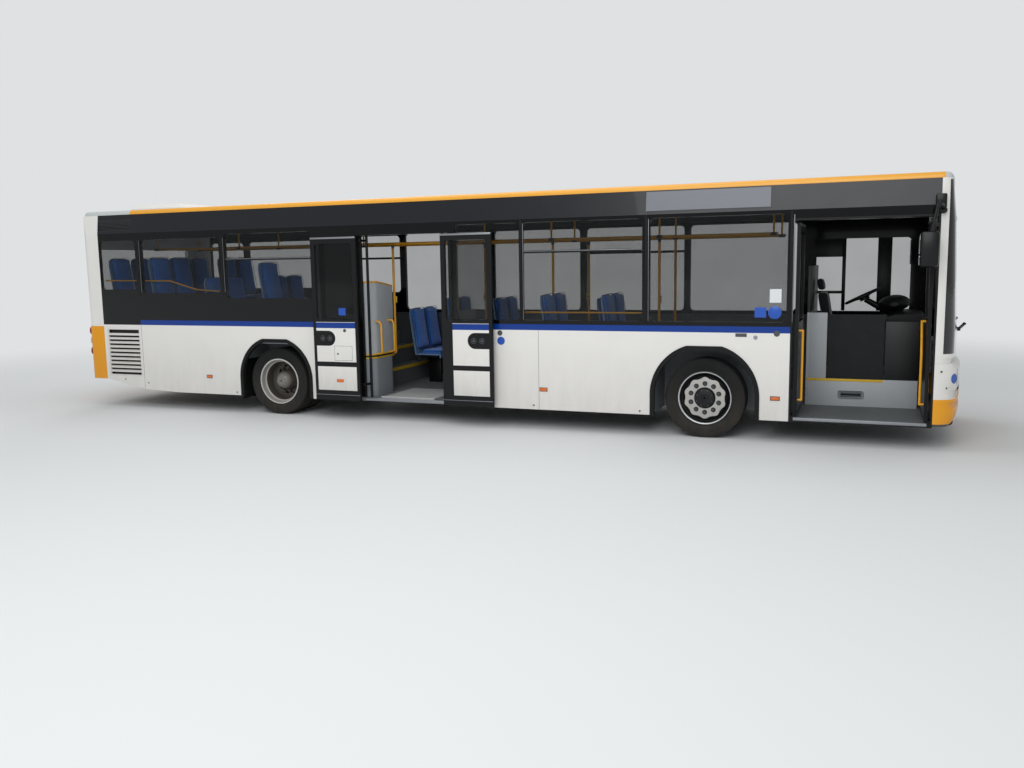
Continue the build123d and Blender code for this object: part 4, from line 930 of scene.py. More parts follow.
@dataclass
class Trim:
    """A group of pieces, with the finishes and the frame's nodes that they are made with."""

    finishes: dict[str, Material]
    nodes: dict[str, Thing]

    def place(self, name: str, mesh: Mesh, finish: str, slot: str, body: str = "root",
              smooth: bool = True) -> Thing:
        """Makes a piece from a bmesh and lets it ride on a body.

        Args:
            name: the piece's name.
            mesh: its shape, in the bus's own frame.
            finish: the name of its finish.
            slot: the record's slot of its finish; not used.
            body: the body that carries it.
            smooth: whether its faces are shaded smooth, with sharp edges kept.

        Returns:
            The new object.
        """
        bmesh.ops.remove_doubles(mesh, verts=mesh.verts, dist=1e-6)
        bmesh.ops.recalc_face_normals(mesh, faces=mesh.faces)
        made = put_mesh(name, mesh)
        made.data.materials.append(self.finishes[finish])
        if smooth:
            made.data.shade_smooth()
            made.data.set_sharp_from_angle(angle=SHARP)
        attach(made, body)
        LOG.info("%s: %d faces on %s", name, len(made.data.polygons), body)
        return made

    def bars(self, name: str, finish: str, slot: str, rows: list[tuple], body: str = "root") -> Thing:
        """Makes a piece of bars.

        Args:
            name: the piece's name.
            finish: the name of its finish.
            slot: the record's slot of its finish; not used.
            rows: two corners and the radius of the edges, for each bar.
            body: the body that carries it.

        Returns:
            The new object.
        """
        shape = bmesh.new()
        for row in rows:
            Shapes.bar(shape, *row)
        return self.place(name, shape, finish, slot, body)


@dataclass
class Tyres(Trim):
    """Tyres with grooved treads, which take the place of the plain rings."""

    radius: float = 0.461
    grooves: tuple[float, ...] = (-0.074, -0.026, 0.026, 0.074)
    groove_width: float = 0.011
    groove_depth: float = 0.014
    slant: float = 0.001
    steps: int = 96
    flank: tuple[Flat, ...] = (
        (0.112, 0.300), (0.1125, 0.316), (0.1165, 0.326), (0.1215, 0.333), (0.1285, 0.352), (0.1335, 0.372),
        (0.1362, 0.374), (0.1368, 0.378), (0.1350, 0.380), (0.1358, 0.395), (0.1340, 0.415), (0.1300, 0.432),
        (0.1240, 0.447), (0.1205, 0.455), (0.1130, 0.4595))

    def section(self) -> list[Flat]:
        """Works out the outline of the tyre.

        Returns:
            Points as y and radius, from one bead over the tread to the other.
        """
        tread = []
        low = self.radius - self.groove_depth
        for y in self.grooves:
            a, b = y - self.groove_width / 2, y + self.groove_width / 2
            tread += [(a - self.slant, self.radius), (a + self.slant, low), (b - self.slant, low),
                      (b + self.slant, self.radius)]
        return [(-y, r) for y, r in self.flank] + tread + [(y, r) for y, r in reversed(self.flank)]

    def build(self) -> None:
        """Makes the tyres of all four places."""
        for end, side, _ in WHEELS:
            name = tyre_node(end, side)
            shape = bmesh.new()
            for low, high in solids(self.nodes[name]):
                Shapes.lathe(shape, (low + high) / 2, self.section(), self.steps)
            made = self.place(f"{name}_tread", shape, "tyre_rubber", "tyre", f"wheel_{end}_{side}")
            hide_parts(name)


@dataclass
class Rims(Trim):
    """The rims, turned from their sections in millimetres, the rear ones with hand holes."""

    steps: int = 96
    holes: int = 10
    hole_ring: float = 0.200
    hole_radius: float = 0.019
    hole_stretch: float = 0.010
    front: tuple[Flat, ...] = (
        (-120, 315), (-112, 315), (-112, 299.7), (112, 299.7), (112, 315), (120, 315), (122, 306), (116, 294),
        (40, 286), (34, 268), (80, 244), (96, 226), (96, 122), (104, 116), (126, 104), (134, 84), (134, 40),
        (126, 34), (126, 12), (-40, 12), (-40, 95), (60, 120), (78, 220), (20, 262), (14, 288), (-120, 288))
    rear: tuple[Flat, ...] = (
        (-280, 315), (-272, 315), (-272, 299.7), (-48, 299.7), (-48, 315), (-40, 315), (-40, 288), (-20, 270),
        (20, 270), (40, 288), (40, 315), (48, 315), (48, 299.7), (272, 299.7), (272, 315), (280, 315),
        (282, 306), (276, 292), (212, 286), (200, 268), (60, 262), (28, 236), (22, 225), (22, 150), (60, 138),
        (180, 112), (222, 85), (238, 50), (238, 12), (-60, 12), (-60, 140), (-22, 150), (-22, 225),
        (-60, 272), (-280, 288))

    def build(self) -> None:
        """Turns the four rims."""
        for end, side, out in WHEELS:
            section, finish = (self.rear, "wheel_dusty") if end == "rear" else (self.front, "wheel_silver")
            centre = wheel_centre(end, side)
            shape = bmesh.new()
            Shapes.lathe(shape, centre, [(out * y / 1000, r / 1000) for y, r in section], self.steps)
            made = self.place(f"turned_rim_{end}_{side}", shape, finish, "rim", f"wheel_{end}_{side}")
            if end == "rear":
                self.cut(made, centre)
            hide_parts(f"rim_{end}_{side}")

    def cut(self, rim: Thing, centre: Vector) -> None:
        """Cuts the hand holes round the disc.

        Args:
            rim: the rim.
            centre: the wheel's centre.
        """
        shape = bmesh.new()
        reach = Vector((0, 0.05, 0))
        for number in range(self.holes):
            angle = math.pi / 2 + math.tau * (number + 0.5) / self.holes
            at = centre + self.hole_ring * Vector((math.cos(angle), 0, math.sin(angle)))
            along = Vector((-math.sin(angle), 0, math.cos(angle)))
            for vert in Shapes.drum(shape, at - reach, at + reach, self.hole_radius):
                ahead = (vert.co - at).dot(along) > 0
                vert.co += along * (self.hole_stretch if ahead else -self.hole_stretch)
        bmesh.ops.recalc_face_normals(shape, faces=shape.faces)
        cutter = put_mesh("hole_cutter", shape)
        change = rim.modifiers.new("cut", "BOOLEAN")
        change.operation = "DIFFERENCE"
        change.solver = "EXACT"
        change.object = cutter
        settle(rim)
        bpy.data.objects.remove(cutter)
        rim.data.shade_smooth()
        rim.data.set_sharp_from_angle(angle=SHARP)


@dataclass
class WheelTrim(Trim):
    """Wheel nuts, hub bolts and the lobed cover discs of the front wheels."""

    nut_ring: float = 0.167
    nuts: int = 10
    hub_bolts: int = 8
    lobe_high: float = 0.243
    lobe_low: float = 0.222
    cover_in: float = 0.124

    def build(self) -> None:
        """Makes the trim of all four wheels."""
        for end, side, out in WHEELS:
            centre = wheel_centre(end, side)
            body = f"wheel_{end}_{side}"
            disc, ring, seat = (0.0222, 0.068, 0.224) if end == "rear" else (0.1026, 0.093, 0.128)
            if end == "front":
                self.place(f"wheel_cover_{side}", self.cover(centre, out), "wheel_cover", "rim", body)
            cups, nuts = bmesh.new(), bmesh.new()
            quarter = math.pi / 2
            for number in range(self.nuts):
                angle = quarter + math.tau * number / self.nuts
                for mesh, inner, outer, radius, far, sides in (
                        (cups, -0.001, 0.0035, 0.029, 0.026, 20), (nuts, 0.003, 0.007, 0.021, 0.021, 20),
                        (nuts, 0.006, 0.024, 0.0175, 0.0175, 6), (nuts, 0.022, 0.032, 0.0095, 0.008, 12)):
                    foot, top = (self.at(centre, self.nut_ring, angle, out * (disc + y))
                                 for y in (inner, outer))
                    Shapes.drum(mesh, foot, top, radius, far, sides)
            for number in range(self.hub_bolts):
                angle = math.tau * (number + 0.5) / self.hub_bolts
                foot, top = (self.at(centre, ring, angle, out * (seat + y)) for y in (-0.004, 0.007))
                Shapes.drum(nuts, foot, top, 0.0075, sides=6)
            self.place(f"nut_cups_{end}_{side}", cups, "hub_black", "black_metal", body)
            self.place(f"nuts_{end}_{side}", nuts, "nut_steel", "rim", body)

    @staticmethod
    def at(centre: Vector, radius: float, angle: float, y: float) -> Vector:
        """Finds a point round a wheel by its radius, angle and y."""
        return centre + Vector((radius * math.cos(angle), y, radius * math.sin(angle)))

    def cover(self, centre: Vector, out: int) -> Mesh:
        """Makes the flat cover disc with a wavy edge.

        Args:
            centre: the wheel's centre.
            out: 1 on the left, -1 on the right.

        Returns:
            The disc's mesh.
        """
        mesh = bmesh.new()
        steps = self.nuts * 12
        middle, swing = (self.lobe_high + self.lobe_low) / 2, (self.lobe_high - self.lobe_low) / 2
        rings = []
        for y, share in ((0.0965, 0.0), (0.0965, 0.985), (0.0985, 1.0), (0.1010, 0.985), (0.1024, 0.93),
                         (0.1024, 0.0)):
            ring = []
            for angle in (math.tau * step / steps for step in range(steps)):
                edge = middle + swing * math.cos(self.nuts * (angle - math.pi / 2))
                ring.append(self.at(centre, self.cover_in + (edge - self.cover_in) * share, angle, out * y))
            rings.append(ring)
        Shapes.skin(mesh, rings, hollow=True)
        return mesh


@dataclass
class FrontMoulding(Trim):
    """The front bumper's moulding in levels, with the head lamps' lenses on it, and the mirrors."""

    length: float = 5.990
    width: float = 1.250
    start: float = 5.673
    thick: float = 0.030
    corner: float = 0.230
    lens_start: float = 0.630
    lens_wide: float = 0.410
    lens_thick: float = 0.010
    lens_levels: tuple[Flat, ...] = ((0.688, 0.030), (0.696, 0.010), (0.712, 0.0), (0.760, 0.0), (0.840, 0.0),
                                     (0.856, 0.010), (0.864, 0.030))
    levels: tuple[Point, ...] = (
        (0.290, 0.060, 0.190), (0.335, 0.016, 0.220), (0.400, 0.000, 0.230), (0.448, 0.004, 0.228),
        (0.462, 0.038, 0.202), (0.500, 0.038, 0.202), (0.514, 0.002, 0.229), (0.548, 0.002, 0.229),
        (0.558, 0.040, 0.200), (0.634, 0.036, 0.203), (0.648, 0.005, 0.227), (0.760, 0.000, 0.230),
        (0.872, 0.005, 0.227), (0.902, 0.036, 0.204), (0.929, 0.086, 0.166))

    def nose(self, back: float, corner: float) -> Flat:
        """Finds the arc across the nose of one level.

        Args:
            back: how far the nose is set back.
            corner: radius of the corner.

        Returns:
            The arc's radius and the place of its centre along the bus.
        """
        deep, wide = self.length - back - self.start, self.width - corner
        radius = (deep ** 2 + wide ** 2 - corner ** 2) / (2 * (deep - corner))
        return radius, self.length - back - radius

    def half_outline(self, back: float, corner: float, inset: float) -> list[Flat]:
        """Draws the outline of one level from the left side to the middle.

        Args:
            back: how far the nose is set back.
            corner: radius of the corner.
            inset: how far the outline is drawn in.

        Returns:
            Points as x and y.
        """
        wide = self.width - corner
        nose, middle = self.nose(back, corner)
        turn = math.degrees(math.atan2(wide, self.start - middle))
        points = arc((self.start, wide), corner - inset, 90, turn - 90, 8)
        return points + arc((middle, 0), nose - inset, turn, -turn, 16)[1:]

    def ring(self, z: float, back: float, corner: float) -> list[Point]:
        """Draws the closed ring of one level, outside and back along the inside.

        Args:
            z: the level's height.
            back: how far the nose is set back.
            corner: radius of the corner.

        Returns:
            Its points.
        """
        whole = []
        for inset in (0.0, self.thick):
            half = self.half_outline(back, corner, inset)
            line = half + [(x, -y) for x, y in reversed(half[:-1])]
            whole += [(x, y, z) for x, y in (line if not inset else reversed(line))]
        return whole

    def build(self) -> None:
        """Makes the bumper, the lenses, the mirrors and the fittings on the right corner."""
        shape = bmesh.new()
        Shapes.skin(shape, [self.ring(*level) for level in self.levels])
        made = self.place("bumper_moulding", shape, "moulding_front", "bumper")
        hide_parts("front_bumper")
        self.lenses()
        self.mirrors()
        foil, plugs = bmesh.new(), bmesh.new()
        for mesh, x, z, radius, off in (
                (foil, 5.871, 0.768, 0.052, 0.2275), (plugs, 5.741, 0.847, 0.011, 0.2275),
                (plugs, 5.797, 0.673, 0.010, 0.2275), (plugs, 5.797, 0.600, 0.010, 0.200)):
            angle = math.acos((x - self.start) / self.corner)
            out = Vector((math.cos(angle), -math.sin(angle), 0))
            at = Vector((self.start, self.corner - self.width, z)) + out * off
            Shapes.drum(mesh, at - out * 0.004, at + out * 0.0045, radius, sides=32)
        self.place("foil_round_nose", foil, "foil_blue", "front_paint")
        self.place("nose_plugs", plugs, "button_grey", "trim_grey")

    def face_x(self, y: float, z: float) -> float:
        """Finds how far forward the moulding reaches.

        Args:
            y: across the bus.
            z: height.

        Returns:
            The place along the bus.
        """
        for (z0, back0, corner0), (z1, back1, corner1) in zip(self.levels, self.levels[1:]):
            if z0 <= z <= z1:
                share = (z - z0) / (z1 - z0)
                back, corner = back0 + (back1 - back0) * share, corner0 + (corner1 - corner0) * share
        nose, middle = self.nose(back, corner)
        return middle + math.sqrt(nose ** 2 - y ** 2)

    def lenses(self) -> None:
        """Lays a clear lens over each group of head lamps, a little proud of the moulding."""
        shape = bmesh.new()
        for side in SIDES:
            rings = []
            for z, cut in self.lens_levels:
                ys = [self.lens_start + cut + (self.lens_wide - 2 * cut) * step / 14 for step in range(15)]
                proud = 0.0015 if cut == 0.030 else 0.0035
                front = [(self.face_x(y, z) + proud, side * y, z) for y in ys]
                rings.append(front + [(x - self.lens_thick, y, z) for x, y, z in reversed(front)])
            Shapes.skin(shape, rings)
        self.place("head_lamp_lenses", shape, "lens_plastic", "lamp")

    def mirrors(self) -> None:
        """Makes the two mirrors with rounded heads on their bent arms."""
        shape = bmesh.new()
        for side in SIDES:
            arm = [(5.690, side * 1.2503, 2.5), (5.690, side * 1.300, 2.5)]
            Shapes.drum(shape, *arm, 0.034)
            Shapes.tube(shape, [(x, side * y, z) for x, y, z in (
                (5.690, 1.270, 2.500), (5.680, 1.340, 2.545), (5.655, 1.410, 2.565), (5.625, 1.443, 2.535),
                (5.570, 1.445, 2.250))], 0.018, 14)
        Shapes.pair(shape, (5.475, 1.330, 1.930), (5.655, 1.560, 2.285), 0.034)
        Shapes.pair(shape, (5.615, 1.252, 2.520), (5.715, 1.335, 2.665), 0.012)
        made = self.place("mirror_bodies", shape, "frame_black", "black_metal")
        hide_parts("mirrors")


@dataclass
class DoorTrim(Trim):
    """Panels, rails, seals, handles and buttons of the door leaves, the ramp's edging and the sills."""

    rail: float = 0.026
    proud: float = 0.0025
    edge_rubber: float = 0.006
    stile: float = 0.044
    panel: float = 0.003
    thick: float = 0.038
    lower: Flat = (0.134, 0.450)
    upper: Flat = (0.514, 1.040)
    wide_stile: float = 0.105
    grip_z: float = 0.825
    grip_r: float = 0.100
    grip_long: float = 0.190

    def build(self) -> None:
        """Makes the trim of the four leaves, of the ramp and of both doorways."""
        for end in ("rear", "front"):
            self.middle_leaf(end)
            self.front_leaf(end)
        low, high = map(Vector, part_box("ramp"))
        top = low.z + 0.018
        rows = [((x, low.y + 0.03, top), (x + 0.008, high.y - 0.01, top + 0.0008))
                for x in (low.x + 0.012, high.x - 0.020)]
        rows.append(((low.x + 0.02, high.y - 0.018, top), (high.x - 0.02, high.y - 0.010, top + 0.0008)))
        self.bars("ramp_edging", "seam_dark", "floor", rows, "ramp")
        floor = low.z - 0.0003
        self.bars("door_sills", "aluminium", "aluminium", [
            ((4.275, -1.249, floor - 0.004), (5.620, -1.2005, floor + 0.002), 0.001),
            ((4.275, -1.2522, floor - 0.030), (5.620, -1.2502, floor + 0.001), 0.0008),
            ((-1.195, -1.2035, floor - 0.040), (0.070, -1.2003, floor - 0.001), 0.0008)])

    def middle_leaf(self, end: str) -> None:
        """Dresses one leaf of the middle door, which hangs along the side.

        Args:
            end: rear or front.
        """
        body = f"mid_leaf_{end}"
        low, high = map(Vector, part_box(body))
        skin, face = low.y, low.y - self.panel
        left, right = low.x + self.stile, high.x - self.stile
        way, near, far, outer, inner = 1, left, right, low.x, high.x
        if end == "front":
            left += self.wide_stile
            way, near, far, outer, inner = -1, right, left, high.x, low.x
        foot, head, grip = (low.z + z for z in (*self.upper, self.grip_z))
        white = bmesh.new()
        Shapes.bar(white, (left, face, low.z + self.lower[0]), (right, skin, low.z + self.lower[1]), 0.001)
        outline = [(near, foot), (far, foot), (far, head), (near, head), (near, grip + self.grip_r)]
        notch = arc((self.grip_long, 0), self.grip_r, 90, -180, 12)
        outline += [(near + way * x, grip + z) for x, z in notch]
        Shapes.along(white, outline + [(near, grip - self.grip_r)], (face, skin))
        self.place(f"leaf_panels_mid_{end}", white, "leaf_white", "body_paint", body)
        self.bars(f"leaf_rails_mid_{end}", "aluminium", "aluminium", [
            ((low.x + 0.002, skin - self.proud, z0), (high.x - 0.002, skin, z1), 0.001)
            for z0, z1 in ((high.z - self.rail, high.z - 0.004), (low.z + 0.070, low.z + 0.076))], body)
        half = self.edge_rubber / 2
        self.bars(f"leaf_seals_mid_{end}", "rubber_black", "rubber", [
            ((x - half, skin - 0.001, low.z + 0.004), (x + half, skin + 0.022, high.z - 0.03), 0.002)
            for x in (outer, inner - way * (half - 0.0004))], body)
        self.buttons(end, low, [outer + way * off for off in (0.140, 0.250, 0.480)])
        if end == "rear":
            self.flap(low)

    def buttons(self, end: str, low: Vector, places: list[float]) -> None:
        """Adds the grip's two buttons, and on the rear leaf the key button.

        Args:
            end: rear or front.
            low: the leaf's low corner.
            places: x of the three buttons.
        """
        shape = bmesh.new()
        for x in places[:2]:
            at = Vector((x, low.y, low.z + self.grip_z))
            Shapes.tube(shape, [at + Vector((a, -0.003, b)) for a, b in arc((0, 0), 0.034, 0, 360, 24)],
                        0.0035, 8)
            Shapes.drum(shape, at + Vector((0, 0.001, 0)), at - Vector((0, 0.005, 0)), 0.020, 0.018)
        if end == "rear":
            face, z = low.y - self.panel, low.z + 0.93
            Shapes.drum(shape, (places[2], face + 0.002, z), (places[2], face - 0.0035, z), 0.024, 0.021)
        self.place(f"leaf_buttons_{end}", shape, "button_grey", "black_metal", f"mid_leaf_{end}")

    def flap(self, low: Vector) -> None:
        """Draws the service flap with its lock on the rear leaf, and adds the leaf's marker and foil.

        Args:
            low: the leaf's low corner.
        """
        body, face, line = "mid_leaf_rear", low.y - self.panel, 0.0015
        lines = bmesh.new()
        x0, x1, z0, z1 = 0.315, 0.585, 0.535, 0.725
        for a, b, c, d in ((x0, z0, x1, z0), (x0, z1, x1, z1), (x0, z0, x0, z1), (x1, z0, x1, z1)):
            Shapes.bar(lines, (low.x + a - line, face - 0.0006, low.z + b - line),
                       (low.x + c + line, face + 0.001, low.z + d + line))
        x, z = low.x + 0.365, low.z + 0.62
        Shapes.drum(lines, (x, face + 0.001, z), (x, face - 0.002, z), 0.013)
        self.place("leaf_flap", lines, "button_grey", "black_metal", body)
        foot, top = low.z + 0.245, low.z + 0.285
        self.bars("leaf_marker", "lens_amber", "lamp", [
            ((low.x + 0.335, face - 0.010, foot), (low.x + 0.440, face + 0.001, top), 0.004)], body)
        self.bars("foil_square_leaf", "foil_blue", "front_paint", [
            ((low.x + 0.400, low.y - 0.0012, 1.395), (low.x + 0.505, low.y + 0.001, 1.490))], body)

    def front_leaf(self, end: str) -> None:
        """Dresses one leaf of the front door, which stands square to the side when open.

        Args:
            end: rear or front.
        """
        body = f"front_leaf_{end}"
        low, high = map(Vector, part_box(body))
        sign, outer = (1, low.x) if end == "rear" else (-1, high.x)
        inner, half = outer + sign * self.thick, self.edge_rubber / 2
        self.bars(f"leaf_panels_front_{end}", "leaf_white", "body_paint", [
            ((outer, low.y + self.stile, low.z + z0),
             (outer - sign * self.panel, high.y - self.stile, low.z + z1), 0.001)
            for z0, z1 in (self.lower, self.upper)], body)
        self.handle(end, inner, sign)
        self.bars(f"leaf_rails_front_{end}", "aluminium", "aluminium", [
            ((inner, low.y + 0.003, z0), (inner + sign * self.proud, high.y - 0.003, z1), 0.001)
            for z0, z1 in ((high.z - self.rail - 0.021, high.z - 0.025),
                           (low.z + 0.085, low.z + 0.092))], body)
        self.bars(f"leaf_seals_front_{end}", "rubber_black", "rubber", [
            ((outer + sign * 0.006, y - half, low.z + 0.03), (inner - sign * 0.004, y + half, high.z - 0.03),
             0.002) for y in (low.y, high.y)], body)

    def handle(self, end: str, inner: float, sign: int) -> None:
        """Adds the yellow hand rail on the inner side of a front leaf.

        Args:
            end: rear or front.
            inner: x of the leaf's inner face.
            sign: the way from that face to the rail.
        """
        line = {"rear": [(-1.134, 0.480), (-1.134, 1.250)],
                "front": [(-1.119, 0.480), (-1.134, 1.000), (-0.929, 1.350)]}[end]
        points = [Vector((inner + sign * 0.040, y, z)) for y, z in line]
        feet = [Vector((inner, *line[number])) for number in (0, -1)]
        shape = bmesh.new()
        Shapes.rods(shape, [feet[0], *points, feet[1]], points, 0.014, 14)
        self.place(f"leaf_handle_{end}", shape, "handrail_yellow", "handrail", f"front_leaf_{end}")


@dataclass
class SideTrim(Trim):
    """Window transoms, gaskets and small fittings along both sides."""

    skin: float = 1.25
    glass: float = 1.246
    transoms: tuple[Point, ...] = ((-3.340, -1.942, 2.150), (1.103, 2.565, 2.168))
    joints: tuple[Point, ...] = ((-4.902, 1.70, 2.45), (-3.397, 1.70, 2.45), (1.073, 1.35, 2.51),
                                 (2.6165, 1.35, 2.51), (4.215, 1.35, 2.51))

    def build(self) -> None:
        """Makes the trim of both sides."""
        black, metal = bmesh.new(), bmesh.new()
        glass, skin = self.glass, self.skin
        for x0, x1, z in self.transoms:
            Shapes.pair(black, (x0, glass - 0.004, z - 0.016), (x1, glass + 0.004, z + 0.016), 0.002)
            Shapes.pair(metal, (x0 + 0.004, glass + 0.0035, z + 0.004),
                        (x1 - 0.004, glass + 0.0055, z + 0.010), 0.0008)
        for x, z0, z1 in self.joints:
            Shapes.pair(black, (x - 0.011, skin - 0.001, z0 - 0.045),
                        (x + 0.011, skin + 0.0018, z1 + 0.04), 0.001)
            for side, proud in ((-1, 0.0018), (1, 0.0008)):
                Shapes.bar(metal, (x + 0.026, side * (skin - 0.001), z0),
                           (x + 0.030, side * (skin + proud), z1), 0.0006)
        self.place("window_gaskets", black, "rubber_black", "rubber")
        self.place("window_edges", metal, "aluminium", "aluminium")
        self.fittings()
        self.seams()
        self.markers()
        # A black sheet behind the grilles, painted shade for the dark bay behind them
        low, high = map(Vector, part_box("grilles"))
        backs = bmesh.new()
        Shapes.pair(backs, (low.x + 0.02, 1.206, low.z + 0.02), (min(high.x, -4.96), 1.209, 1.20))
        self.place("grille_backs", backs, "frame_black", "black_metal")

    def fittings(self) -> None:
        """Adds buttons, a lock and plain foils by the doors on the right, and the panels' plugs."""
        for name, x, z, radius, finish, proud in (
                ("button_mid", 0.785, 1.185, 0.034, "button_grey", 0.006),
                ("button_front", 4.085, 1.222, 0.034, "button_grey", 0.006),
                ("lock_front", 3.857, 1.175, 0.024, "aluminium", 0.004),
                ("foil_round_mid", 0.798, 1.088, 0.052, "foil_blue", 0.0012),
                ("foil_round_front", 4.058, 1.454, 0.072, "foil_blue", 0.0012)):
            shape = bmesh.new()
            Shapes.drum(shape, (x, -self.skin + 0.001, z), (x, -self.skin - proud, z), radius,
                        radius * 0.94, 32)
            self.place(name, shape, finish, "black_metal")
        for name, x, z, wide, high, finish in (("foil_square_front", 3.905, 1.454, 0.062, 0.056, "foil_blue"),
                                               ("foil_white_front", 4.063, 1.636, 0.062, 0.074, "foil_white"),
                                               ("plate_front", 3.700, 1.200, 0.062, 0.020, "button_grey")):
            self.bars(name, finish, "front_paint", [
                ((x - wide, -self.skin - 0.0012, z - high), (x + wide, -self.skin + 0.001, z + high))])
        plugs = bmesh.new()
        for side in SIDES:
            for x, z in ((-5.30, 0.41), (-3.26, 0.29), (-4.86, 0.37), (1.22, 0.30), (2.55, 0.29),
                         (0.16, 0.30)):
                Shapes.drum(plugs, (x, side * (self.skin - 0.001), z), (x, side * (self.skin + 0.0012), z),
                            0.013, 0.011)
        self.place("panel_plugs", plugs, "button_grey", "trim_grey")

    def seams(self) -> None:
        """Draws the joints between the side panels and between the roof's side panels."""
        shape = bmesh.new()
        half = 0.0018
        for x, foot in ((-4.930, 0.275), (1.290, 0.252)):
            Shapes.pair(shape, (x - half, self.skin - 0.001, foot), (x + half, self.skin + 0.0004, 1.222))
        foot, top = (1.2503, 2.562), (1.2153, 2.828)
        for side in SIDES:
            ring = [(side * (y + out), z) for (y, z), out in ((foot, 0.0004), (top, 0.0004), (top, -0.002),
                                                              (foot, -0.002))]
            for x in (-1.920, 2.080):
                Shapes.skin(shape, [[(x + dx, y, z) for y, z in ring] for dx in (-half, half)])
        self.place("panel_joints", shape, "seam_dark", "body_paint", smooth=False)

    def markers(self) -> None:
        """Adds the amber side markers on their rubber shoes and the flaps behind the rear wheels."""
        lamps, flaps, shoes = bmesh.new(), bmesh.new(), bmesh.new()
        for x in (-3.730, 1.349, 4.080):
            for mesh, long, proud, tall, edge in ((lamps, 0.046, 0.012, 0.018, 0.004),
                                                  (shoes, 0.052, 0.003, 0.024, 0.002)):
                Shapes.pair(mesh, (x - long, self.skin - 0.001, 0.500 - tall),
                            (x + long, self.skin + proud, 0.500 + tall), edge)
        Shapes.pair(flaps, (-3.203, 0.700, 0.200), (-3.195, 1.195, 0.740), 0.002)
        self.place("side_markers", lamps, "lens_amber", "lamp")
        self.place("marker_shoes", shoes, "rubber_black", "rubber")
        self.place("mud_flaps", flaps, "rubber_black", "rubber")


@dataclass
class EndTrim(Trim):
    """Plain number plates, wiper blades, mirror glasses, tail lamps and the engine flap's louvres."""

    plate: Flat = (0.520, 0.110)
    slots: int = 7
    width: float = 1.250
    corner: float = 0.130

    def build(self) -> None:
        """Makes the trim of both ends."""
        half, tall = self.plate[0] / 2, self.plate[1]
        self.bars("plate_holder", "frame_black", "black_metal", [
            ((5.945, -half - 0.012, 0.548), (5.984, half + 0.012, 0.682), 0.004)])
        self.bars("plate_blank_front", "foil_white", "front_paint", [
            ((5.984, -half, 0.560), (5.9875, half, 0.560 + tall), 0.001)])
        flap = Vector(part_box("engine_flap")[0])
        foot = flap.z + 0.03
        self.bars("plate_blank_rear", "foil_white", "front_paint", [
            ((flap.x - 0.003, -half, foot), (flap.x + 0.001, half, foot + tall / 1.3), 0.001)], "engine_flap")
        self.mirrors()
        self.louvres(flap)
        self.tail_corners()
        blades = bmesh.new()
        for low, high in solids(self.nodes["wipers"]):
            foot = Vector((high.x - 0.02, high.y - 0.10, low.z + 0.045))
            tip = Vector((high.x - 0.02, low.y + 0.02, high.z))
            Shapes.tube(blades, [foot, (foot + tip) / 2 + Vector((0.004, 0, 0.003)), tip], 0.006, 8)
        self.place("wiper_blades", blades, "rubber_black", "rubber")
        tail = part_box("rear_wall")[0][0]
        self.bars("brake_lamp_high", "lens_red", "lamp", [
            ((tail + 0.012, -0.16, 2.62), (tail + 0.030, 0.16, 2.65), 0.004)])

    def mirrors(self) -> None:
        """Sets silvered glasses in thin rims on the rear face of each mirror."""
        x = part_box("mirrors")[0][0] - 0.025
        glass, rim = bmesh.new(), bmesh.new()
        for z0, z1 in ((1.955, 2.045), (2.062, 2.250)):
            Shapes.pair(glass, (x - 0.0025, 1.352, z0), (x + 0.001, 1.538, z1), 0.0008)
            Shapes.pair(rim, (x - 0.0012, 1.346, z0 - 0.006), (x + 0.001, 1.544, z1 + 0.006))
        self.place("mirror_glasses", glass, "mirror_silver", "glass")
        self.place("mirror_rims", rim, "rubber_black", "rubber")

    def tail_corners(self) -> None:
        """Adds the domed lamps that show past the rear corners."""
        corner, tail, angle = self.corner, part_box("rear_bumper")[0][0], math.radians(205)
        for name, heights, finish in (("tail_domes_red", (1.125, 0.820), "lens_red"),
                                      ("tail_domes_clear", (0.980,), "diffuser_white")):
            shape = bmesh.new()
            for side in SIDES:
                out = Vector((math.cos(angle), -side * math.sin(angle), 0))
                for z in heights:
                    at = Vector((tail + corner, side * (self.width - corner), z)) + out * (corner - 0.004)
                    Shapes.drum(shape, at, at + out * 0.014, 0.058, 0.055, 28)
                    Shapes.drum(shape, at + out * 0.013, at + out * 0.024, 0.050, 0.030, 28)
            self.place(name, shape, finish, "lamp")

    def louvres(self, flap: Vector) -> None:
        """Adds the engine flap's air slots as black strips of painted shade over where they open, each under
        its hood.

        Args:
            flap: the flap's low corner.
        """
        slots, hoods = bmesh.new(), bmesh.new()
        for number in range(self.slots):
            z = flap.z + 0.150 + number * 0.058
            # A black strip, painted shade for the slot's dark opening
            Shapes.bar(slots, (flap.x - 0.0006, -0.52, z), (flap.x + 0.001, 0.52, z + 0.020))
            Shapes.along(hoods, [(flap.x + dx, z + dz) for dx, dz in (
                (0.001, 0.034), (-0.001, 0.034), (-0.011, 0.018), (-0.009, 0.017), (0.001, 0.030))],
                (-0.525, 0.525))
        self.place("flap_slots", slots, "frame_black", "black_metal", "engine_flap")
        self.place("flap_hoods", hoods, "moulding_rear_yellow", "body_paint", "engine_flap")


